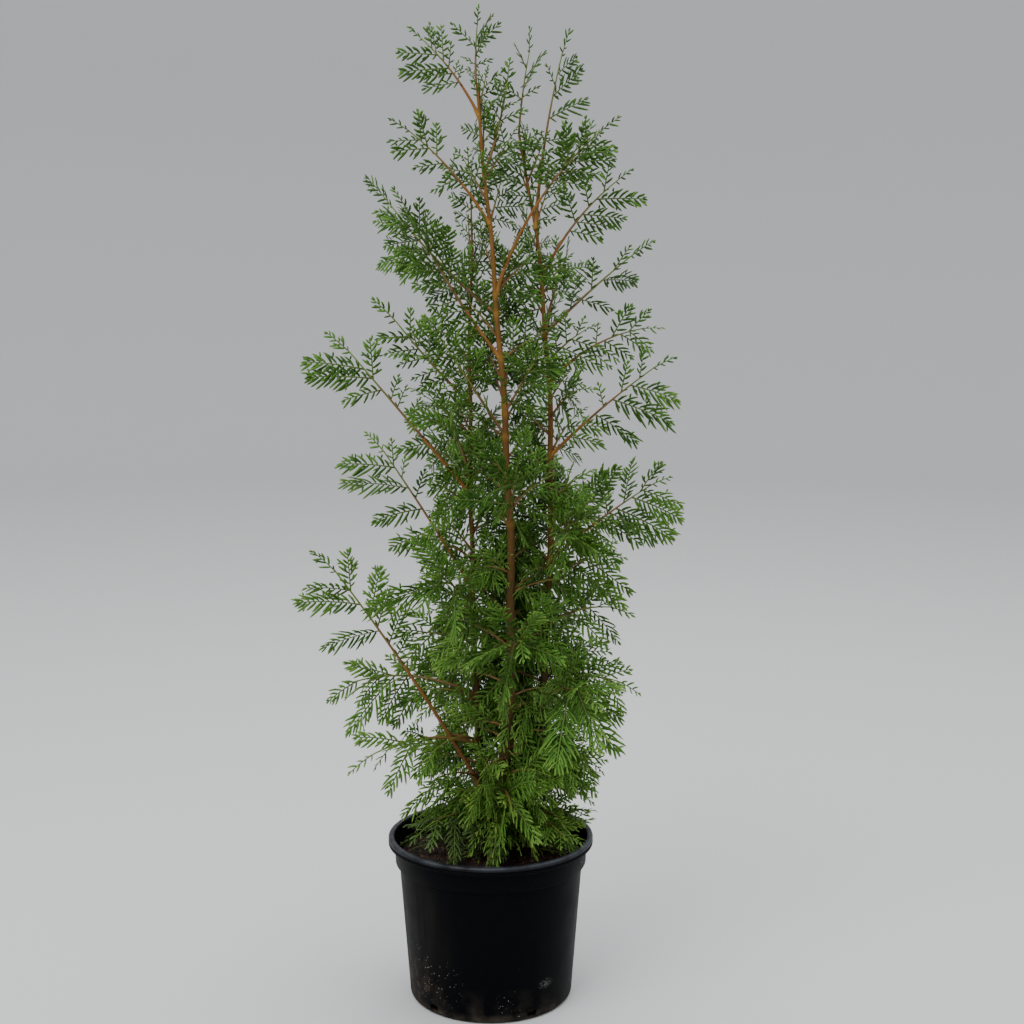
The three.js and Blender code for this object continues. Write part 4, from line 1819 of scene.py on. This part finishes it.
@dataclass
class Foliage:
    """All the foliage: the twigs, the stalks of the sprays, and their fingers."""

    growth: Growth
    twigs: Joined = field(default_factory=Joined)
    stalks: Joined = field(default_factory=Joined)

    SEED = 20
    FRESHNESS = {
        Side.LEFT: 0.4,
        Side.RIGHT: 0.38,
        Side.FRONT: 0.36,
        Side.BACK: 0.26,
        Side.CROWN: 0.36,
    }
    FRESHER_BY_RANK = 0.2
    FRESH_JITTER = 0.14
    FRESHER_BY_HEIGHT = -0.6
    DULL_FRESHNESS = -1.0
    DULL_MASS = "apron_left"

    # The same for the side shoots, which are dull low down unless they point to the right.
    SHOOT_FRESHNESS = 0.5
    SHOOT_BY_RANK = 0.14
    SHOOT_JITTER = 0.12
    DULL_HEIGHT = SOIL_TOP + 44
    DULL_RIGHT = 0.3
    SHOOT_SEED = 5
    SHOOT_SEED_STEP = 77

    # Sides and stretches of the tubes, rings of the fingers, and the shape of a stalk.
    TWIG_TUBE = (6, 14)
    SHOOT_TUBE = (5, 5)
    STALK_TUBE = (4, 6)
    FINGER_RINGS = (3, 2)
    STALK_RADIUS = 0.75
    STALK_BY_LENGTH = 0.006
    STALK_TIP = 0.6
    STALK_MARKS = (0.4, 1.0)

    def __post_init__(self) -> None:
        """Starts the run of values and the fingers of each side."""
        self.random = np.random.default_rng(self.SEED)
        self.fingers = {side: Fingers(side) for side in Side}
        self.stalk_tube = Template.tube(*self.STALK_TUBE)

    def build(self) -> None:
        """Grows every spray and makes the pieces."""
        self.grow_masses()
        self.grow_shoots()
        handed_over(self.twigs.build("twigs", TWIG_BARK.material()))
        handed_over(self.stalks.build("spray_stalks", STALK_BARK.material()))
        templates = [Template.finger(rings) for rings in self.FINGER_RINGS]
        for side, fingers in self.fingers.items():
            fingers.build(templates, [limb.node for limb in self.growth.limbs if limb.side is side])

    def grow_masses(self) -> None:
        """Lays the twig and the sprays of every mass."""
        tube = Template.tube(*self.TWIG_TUBE)
        for index, limb in enumerate(self.growth.limbs):
            self.lay_twig(limb, tube)
            for spray in self.growth.sprays(index):
                fresh = self.FRESHNESS[limb.side] + self.FRESHER_BY_RANK * spray.rank
                fresh = self.aged(fresh + jitter(self.random, self.FRESH_JITTER), spray.root[2])
                dull = limb.name == self.DULL_MASS
                self.lay_spray(spray, limb.side, self.DULL_FRESHNESS if dull else fresh)

    def grow_shoots(self) -> None:
        """Lays the twig and the sprays of every side shoot."""
        tube = Template.tube(*self.SHOOT_TUBE)
        for *row, exceptions in SHOOT_ROWS:
            shoots = Shoots(self.growth, *row, **exceptions)
            for number, limb in enumerate(shoots.limbs()):
                self.lay_twig(limb, tube)
                fresh = self.SHOOT_FRESHNESS + jitter(self.random, self.SHOOT_JITTER)
                fresh = self.aged(fresh, limb.height)
                if limb.height < self.DULL_HEIGHT and bearing(limb.heading, 0)[0] < self.DULL_RIGHT:
                    fresh = self.DULL_FRESHNESS
                for spray in shoots.grown(limb, self.SHOOT_SEED_STEP * number + self.SHOOT_SEED):
                    self.lay_spray(spray, limb.side, fresh + self.SHOOT_BY_RANK * spray.rank)

    def aged(self, fresh: float, height: float) -> float:
        """A freshness lowered by height, and never below zero."""
        return max(fresh + self.FRESHER_BY_HEIGHT * height / STEMS["middle"].tip[2], 0.0)

    def lay_twig(self, limb: Limb, tube: Template) -> None:
        """Lays the twig of a mass or a shoot.

        Args:
            limb: the limb.
            tube: the straight tube.
        """
        self.twigs.tube(
            tube,
            path=lambda share: limb.curve.point(limb.twig_share(share)),
            radius=lambda share: limb.radius(limb.twig_share(share)),
            across=limb.across,
            marks=lambda share: share,
        )

    def lay_spray(self, spray: Spray, side: Side, fresh: float) -> None:
        """Lays the fingers and the stalk of a spray.

        Args:
            spray: the spray.
            side: the side of the plant that it is counted to.
            fresh: how fresh it is.
        """
        self.fingers[side].add(spray, fresh, self.random)
        thick = self.STALK_RADIUS + self.STALK_BY_LENGTH * spray.length
        self.stalks.tube(
            self.stalk_tube,
            path=spray.along,
            radius=lambda share: thick * lerp(1, self.STALK_TIP, share),
            across=spray.lateral,
            marks=lambda share: lerp(*self.STALK_MARKS, share),
        )


@dataclass
class Bark:
    """The three stems and the bare boughs, with the relief of young bark.

    A tube has its sides and its rings. A shift moves the pattern from limb to limb. The heights of
    fibres, knobs, collars and bases are shares of the radius, and the lengths are in millimetres.
    """

    growth: Growth
    stem_tube: tuple[int, int] = (14, 260)
    stem_shift: float = 13.0
    bough_tube: tuple[int, int] = (10, 36)
    bough_shift: float = 7.0
    fibre: float = 0.05
    fibre_turn: float = 2.6
    fibre_length: float = 14
    knob: float = 0.14
    knob_turn: float = 0.9
    knob_length: float = 9
    knob_least: float = 0.22
    collar: float = 0.32
    collar_height: float = 4.6
    collar_back: float = 0.45
    collar_mark: float = 0.6
    crook: float = 1.1
    crook_fade: float = 60
    crook_lengths: Pair = (31, 43)
    base: float = 0.5
    base_height: float = 10.12
    base_mark: float = 0.7

    def build(self) -> None:
        """Makes the stems and the boughs."""
        stems, boughs = Joined(), Joined()
        tube = Template.tube(*self.stem_tube)
        for number, name in enumerate(STEMS):
            self.lay_stem(stems, tube, name, self.stem_shift * number)
        piece = stems.build("stems", STEM_BARK.material())
        handed_over(piece, [f"stem_{name}" for name in STEMS])
        tube = Template.tube(*self.bough_tube)
        bare = [limb for limb in self.growth.limbs if limb.bare > 0]
        for number, limb in enumerate(bare):
            self.lay_bough(boughs, tube, limb, self.bough_shift * number)
        piece = boughs.build("boughs", LIMB_BARK.material())
        handed_over(piece, [limb.bough_node for limb in bare])

    def relief(self, tube: Template, heights: np.ndarray, shift: float) -> np.ndarray:
        """The share by which the bark stands up at each vertex of a tube.

        Args:
            tube: the straight tube.
            heights: how far along the limb each vertex lies, in millimetres.
            shift: moves the pattern.

        Returns:
            One value for each vertex.
        """
        rise = []
        for point, height in zip(tube.points, heights):
            x, y = point[:2] * self.fibre_turn
            fine = noise.noise(Vector((x + shift, y, height / self.fibre_length)))
            x, y = point[:2] * self.knob_turn
            knobs = noise.noise(Vector((x + shift, y, height / self.knob_length + shift)))
            rise.append(self.fibre * fine + self.knob * max(0.0, knobs - self.knob_least))
        return np.array(rise)

    def lay_stem(self, stems: Joined, tube: Template, name: str, shift: float) -> None:
        """Lays one stem, with a collar where each limb leaves it.

        Args:
            stems: the mesh that it goes into.
            tube: the straight tube.
            name: the stem's name.
            shift: moves the pattern.
        """
        plan = STEMS[name]
        heights = plan.curve.point(tube.points[:, 2])[:, 2]
        relief = self.relief(tube, heights, shift)
        mark = np.zeros(len(heights))
        for limb in self.growth.limbs:
            if limb.stem == name and not limb.leads:
                near = np.exp(-(((heights - limb.height) / self.collar_height) ** 2))
                towards = bearing(limb.heading, 0)
                facing = tube.points[:, 1] * -towards[0] + tube.points[:, 0] * towards[1]
                relief += self.collar * near * lerp(self.collar_back, 1, np.clip(facing, 0, 1))
                mark = np.maximum(mark, self.collar_mark * near)

        def path(along: np.ndarray) -> np.ndarray:
            """The stem's middle line with a slight crook.

            Args:
                along: shares of the stem.

            Returns:
                One point for each share.
            """
            points = plan.curve.point(along)
            height = points[:, 2]
            reach = self.crook * np.clip((height - STEM_FOOT) / self.crook_fade, 0, 1)
            points[:, 0] += reach * np.sin(height / self.crook_lengths[0] + shift)
            points[:, 1] += reach * np.cos(height / self.crook_lengths[1] + shift)
            return points

        radius = plan.radius(heights) * (1 + relief)
        stems.tube(tube, path, radius, np.array([0.0, 1.0, 0.0]), lambda _: mark)

    def lay_bough(self, boughs: Joined, tube: Template, limb: Limb, shift: float) -> None:
        """Lays one bare bough, from inside its stem to its mass.

        Args:
            boughs: the mesh that it goes into.
            tube: the straight tube.
            limb: the limb.
            shift: moves the pattern.
        """
        share = tube.points[:, 2] * limb.bare
        heights = share * limb.length
        near = np.exp(-((heights / self.base_height) ** 2))
        radius = limb.radius(share) * (1 + self.relief(tube, heights, shift))
        boughs.tube(
            tube,
            path=lambda along: limb.curve.point(along * limb.bare),
            radius=radius * (1 + self.base * near),
            across=limb.across,
            marks=lambda _: self.base_mark * near,
        )


@dataclass
class Pot:
    """The moulded nursery pot: a rolled rim, a collar, a tapered wall and a notched heel.

    All measures are in millimetres, and the headings in degrees.
    """

    height: float = POT_HEIGHT
    rim_radius: float = RIM_RADIUS
    rim_width: float = RIM_WIDTH
    rim_depth: float = 11
    rim_outside: float = 3.4
    rim_inside: float = 2.4
    rim_lip: float = 1.2
    groove: float = 0.9
    collar_radius: float = 130.5
    collar_depth: float = 26
    collar_step: float = 3
    body_radius: float = 125
    base_radius: float = 111.5
    heel: float = 7
    wall: float = 2.4
    floor: float = 3
    steps: int = 144
    arc_points: int = 6
    drains: int = 5
    drain_heading: float = -60
    drain_width: float = 15
    drain_height: float = 11
    drain_sill: float = 4
    drain_corner: float = 2.4
    drain_segments: int = 3
    sharp: float = 38

    def arc(self, x: float, z: float, radius: float, first: float, last: float) -> list[Pair]:
        """Points of a rounded corner about a centre, between two angles in degrees."""
        angles = np.radians(np.linspace(first, last, self.arc_points))
        return [(x + radius * math.cos(angle), z + radius * math.sin(angle)) for angle in angles]

    def profile(self) -> list[Pair]:
        """The section of the pot, from the middle of the underside round the rim and back.

        Returns:
            Its points as radius and height.
        """
        lip = self.height - self.rim_depth
        low = lip - self.collar_depth
        collar = self.collar_radius
        rim = self.rim_radius
        inside = rim - self.rim_width
        outer, inner, edge = self.rim_outside, self.rim_inside, self.rim_lip
        foot = self.base_radius - self.heel
        heel_and_wall = [
            (0, 0),
            (foot, 0),
            *self.arc(foot, self.heel, self.heel, -80, -5),
            (self.body_radius, low - self.collar_step),
        ]
        collar_outside = [
            (collar - 0.6, low - 0.5),
            (collar, low + 1),
            (collar + 1, lip - 0.6),
            (collar + 2, lip),
        ]
        rolled_rim = [
            *self.arc(rim - edge, lip + edge, edge, -90, 0),
            (rim, lip + 3.2),
            (rim - self.groove, lip + 4),
            (rim - self.groove, lip + 4.8),
            (rim - 0.1, lip + 5.6),
            *self.arc(rim - outer, self.height - outer, outer, 10, 90),
            *self.arc(inside + inner, self.height - inner, inner, 95, 180),
            (inside - 0.4, lip + 3),
        ]
        inner_wall = [
            (collar + 1 - self.wall, lip - 2),
            (collar - self.wall, low + self.wall),
            (self.body_radius - self.wall, low - self.collar_step),
            (self.base_radius - self.wall, self.heel + 2),
            (foot, self.floor),
            (0, self.floor),
        ]
        return heel_and_wall + collar_outside + rolled_rim + inner_wall

    def slots(self) -> bmesh.types.BMesh:
        """The blocks that cut the drain slots, with rounded corners.

        Returns:
            One block for each slot, in one mesh.
        """
        mesh = bmesh.new()
        size = (4 * self.heel * MM, self.drain_width * MM, self.drain_height * MM)
        place = (self.base_radius * MM, 0, (self.drain_sill + self.drain_height / 2) * MM)
        for number in range(self.drains):
            heading = math.radians(self.drain_heading + number * 360 / self.drains)
            made = bmesh.ops.create_cube(mesh, size=1)["verts"]
            bmesh.ops.scale(mesh, verts=made, vec=size)
            edges = {edge for vertex in made for edge in vertex.link_edges}
            outward = [
                edge
                for edge in edges
                if abs(edge.verts[0].co.x - edge.verts[1].co.x) > self.heel * MM
            ]
            bevelled = bmesh.ops.bevel(
                mesh,
                geom=outward,
                offset=self.drain_corner * MM,
                offset_type="OFFSET",
                affect="EDGES",
                segments=self.drain_segments,
                profile=0.5,
                material=-1,
            )
            block = [vertex for vertex in {*made, *bevelled["verts"]} if vertex.is_valid]
            bmesh.ops.translate(mesh, verts=block, vec=place)
            bmesh.ops.rotate(mesh, verts=block, matrix=Matrix.Rotation(heading, 3, "Z"))
        bmesh.ops.recalc_face_normals(mesh, faces=mesh.faces)
        return mesh

    def build(self) -> None:
        """Makes the pot, with its drain slots cut through the heel."""
        finish = PotFinish().material()
        shell = placed("pot_shell", written("pot_shell", spun(self.profile(), self.steps)), finish)
        slots = placed("pot_slots", written("pot_slots", self.slots()), finish)
        cut = shell.modifiers.new("drains", "BOOLEAN")
        cut.object = slots
        cut.operation = "DIFFERENCE"
        cut.solver = "EXACT"
        graph = bpy.context.evaluated_depsgraph_get()
        mesh = bpy.data.meshes.new_from_object(shell.evaluated_get(graph))
        bpy.data.objects.remove(slots)
        bpy.data.objects.remove(shell)
        mesh.shade_smooth()
        mesh.set_sharp_from_angle(angle=math.radians(self.sharp))
        handed_over(placed("pot_body", mesh, finish), ["pot"])


@dataclass
class Compost:
    """The compost in the pot, with bark chips on top, in millimetres."""

    shoulder: float = 92
    fall: float = 5
    wall_top: float = 127.5
    wall_gap: float = 0.4
    underside: tuple[Pair, ...] = ((121.5, 180), (107, 12), (100, 3.4), (0, 3.4))
    rings: int = 34
    steps: int = 120
    roughness: float = 3.2
    rough_from: float = 190

    # The scale and the share of each pattern in its roughness.
    coarse: Pair = (42, 0.75)
    fine: Pair = (160, 0.45)

    # The chips: a pair is the least and the most, and width and thickness are shares of the length.
    SEED = 5
    CHIPS = 1500
    SHAPES = 3
    SPLINTER = 0.16
    STREWN = 0.93
    LENGTH = (3, 9.5)
    WIDTH = (0.3, 0.6)
    THICKNESS = 0.16
    TIP = 0.5
    SLOPE = 0.35

    def top(self, radius: float) -> float:
        """The height of the compost at a distance from the pot's axis."""
        share = max(0.0, (radius - self.shoulder) / (self.wall_top - self.shoulder))
        return SOIL_TOP - self.fall * share

    def bump(self, point: Vector) -> float:
        """How far the compost stands up at a point that is given in metres."""
        rises = (share * noise.noise(point * scale) for scale, share in (self.coarse, self.fine))
        return self.roughness * sum(rises)

    def build(self) -> None:
        """Makes the compost and the chips."""
        radii = np.linspace(0, self.wall_top - self.wall_gap, self.rings)
        section = [(radius, self.top(radius)) for radius in radii]
        shape = spun([*section, *self.underside], self.steps)
        for vertex in shape.verts:
            if vertex.co.z > self.rough_from * MM:
                vertex.co.z += self.bump(vertex.co) * MM
        piece = placed("compost", written("compost", shape), COMPOST.material())
        handed_over(piece, ["soil"])
        random = np.random.default_rng(self.SEED)
        for number, (finish, portion) in enumerate(CHIPS.items()):
            joined = Joined()
            for _ in range(self.SHAPES):
                chip = self.chip(random)
                count = round(self.CHIPS * portion / self.SHAPES)
                joined.add(self.strewn(chip, count, random), chip.triangles)
            handed_over(joined.build(f"bark_chips_{number + 1}", finish.material()))

    def chip(self, random: np.random.Generator) -> Template:
        """One flat splinter of bark with broken ends.

        Args:
            random: the run of values.

        Returns:
            The splinter, about one unit wide.
        """
        mesh = bmesh.new()
        bmesh.ops.create_cube(mesh, size=1)
        long = [edge for edge in mesh.edges if abs(edge.verts[0].co.x - edge.verts[1].co.x) > 0.5]
        bmesh.ops.subdivide_edges(mesh, edges=long, cuts=1)
        for vertex in mesh.verts:
            vertex.co += Vector(jitter(random, self.SPLINTER, 3))
        return Template(mesh)

    def strewn(self, chip: Template, count: int, random: np.random.Generator) -> np.ndarray:
        """Strews copies of a chip over the compost, each turned and tipped.

        Args:
            chip: the chip.
            count: how many copies are laid.
            random: the run of values.

        Returns:
            The vertices in millimetres, as copies by vertices by three.
        """
        copies = []
        for _ in range(count):
            radius = self.wall_top * math.sqrt(random.uniform(0, self.STREWN))
            heading = random.uniform(0, 2 * math.pi)
            x, y = radius * math.cos(heading), radius * math.sin(heading)
            z = self.top(radius) + self.bump(Vector((x, y, SOIL_TOP)) * MM)
            size = random.uniform(*self.LENGTH)
            sizes = (size, size * random.uniform(*self.WIDTH), size * self.THICKNESS)
            spin = Matrix.Rotation(random.uniform(0, 2 * math.pi), 3, "Z")
            tip = Matrix.Rotation(jitter(random, self.TIP), 3, "X")
            slope = Matrix.Rotation(jitter(random, self.SLOPE), 3, "Y")
            turn = np.array(spin @ tip @ slope @ Matrix.Diagonal(sizes))
            copies.append(chip.points @ turn.T + np.array((x, y, z)))
        return np.array(copies)


@dataclass(frozen=True)
class Lamp:
    """One soft square light: where it stands, its width in metres and its power in watts."""

    name: str
    place: Triple
    width: float
    power: float

    AIM = (0, 0, 0.6)

    def build(self) -> None:
        """Hangs the lamp so that it faces the plant."""
        data = bpy.data.lights.new(self.name, "AREA")
        data.size = self.width
        data.energy = self.power
        lamp = bpy.data.objects.new(self.name, data)
        lamp.location = self.place
        facing = Vector(self.AIM) - Vector(self.place)
        lamp.rotation_euler = facing.to_track_quat("-Z", "Y").to_euler()
        bpy.context.scene.collection.objects.link(lamp)


@dataclass
class Studio:
    """The floor, the backdrop, the light and the camera, in metres."""

    # The floor sweeps up into the wall.
    floor_radius: float = 6.5
    sweep: float = 2.5
    sweep_points: int = 16
    wall: float = 4.6
    steps: int = 96
    merge: float = 1e-5
    paint: Colour = (0.62, 0.63, 0.64)
    paint_roughness: float = 0.9
    sky: Colour = (1.0, 1.0, 1.0)
    sky_strength: float = 0.95
    lamps: tuple[Lamp, ...] = (
        Lamp("key_light", (-1.6, -2.2, 3.4), 2.4, 95),
        Lamp("top_light", (0.6, 0.6, 3.6), 3.0, 70),
    )

    # The camera looks down by its pitch in degrees. Its sensor is in millimetres, the rest in pixels.
    pitch: float = 7.607
    focal: float = 1550
    frame_width: float = 1024
    sensor: float = 36

    def build(self) -> None:
        """Sets up the stage, the light and the camera."""
        self.build_stage()
        self.build_sky()
        for lamp in self.lamps:
            lamp.build()
        self.build_camera()

    def build_stage(self) -> None:
        """Makes a pale round floor that sweeps up into a low wall on every side."""
        turns = np.linspace(0, math.pi / 2, self.sweep_points)
        sweep = [
            (self.floor_radius + self.sweep * math.sin(turn), self.sweep * (1 - math.cos(turn)))
            for turn in turns
        ]
        section = [(0.0, 0.0), *sweep, (self.floor_radius + self.sweep, self.wall)]
        mesh = written("stage_floor", spun(section, self.steps, 1.0, self.merge))
        material = bpy.data.materials.new("pale_floor")
        material.use_nodes = True
        shader = material.node_tree.nodes["Principled BSDF"]
        shader.inputs["Base Color"].default_value = (*self.paint, 1)
        shader.inputs["Roughness"].default_value = self.paint_roughness
        placed("stage_floor", mesh, material)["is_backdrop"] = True

    def build_sky(self) -> None:
        """Makes soft light from all round."""
        world = bpy.data.worlds.new("soft_world")
        world.use_nodes = True
        back = world.node_tree.nodes["Background"]
        back.inputs["Color"].default_value = (*self.sky, 1)
        back.inputs["Strength"].default_value = self.sky_strength
        bpy.context.scene.world = world

    def build_camera(self) -> None:
        """Sets the camera at the photograph's angle and distance."""
        data = bpy.data.cameras.new("camera")
        data.sensor_width = self.sensor
        data.lens = self.sensor * self.focal / self.frame_width
        camera = bpy.data.objects.new("camera", data)
        camera.location = EYE * MM
        camera.rotation_euler = (math.radians(90 - self.pitch), 0, 0)
        bpy.context.scene.collection.objects.link(camera)
        bpy.context.scene.camera = camera


def write_sizes() -> None:
    """Gathers the solids' box and the dressed plant's box as lists of corners."""
    boxes = {"cad": CAD_BOX, "visual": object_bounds()}
    lists = {name: [list(corner) for corner in box] for name, box in boxes.items()}


def main() -> None:
    """Builds the plant, the pot and the studio, in order."""
    logging.basicConfig(level=logging.INFO, format="%(message)s")
    growth = Growth()
    Bark(growth).build()
    Foliage(growth).build()
    Pot().build()
    Compost().build()
    Studio().build()
    write_sizes()


if __name__ == "__main__":
    main()
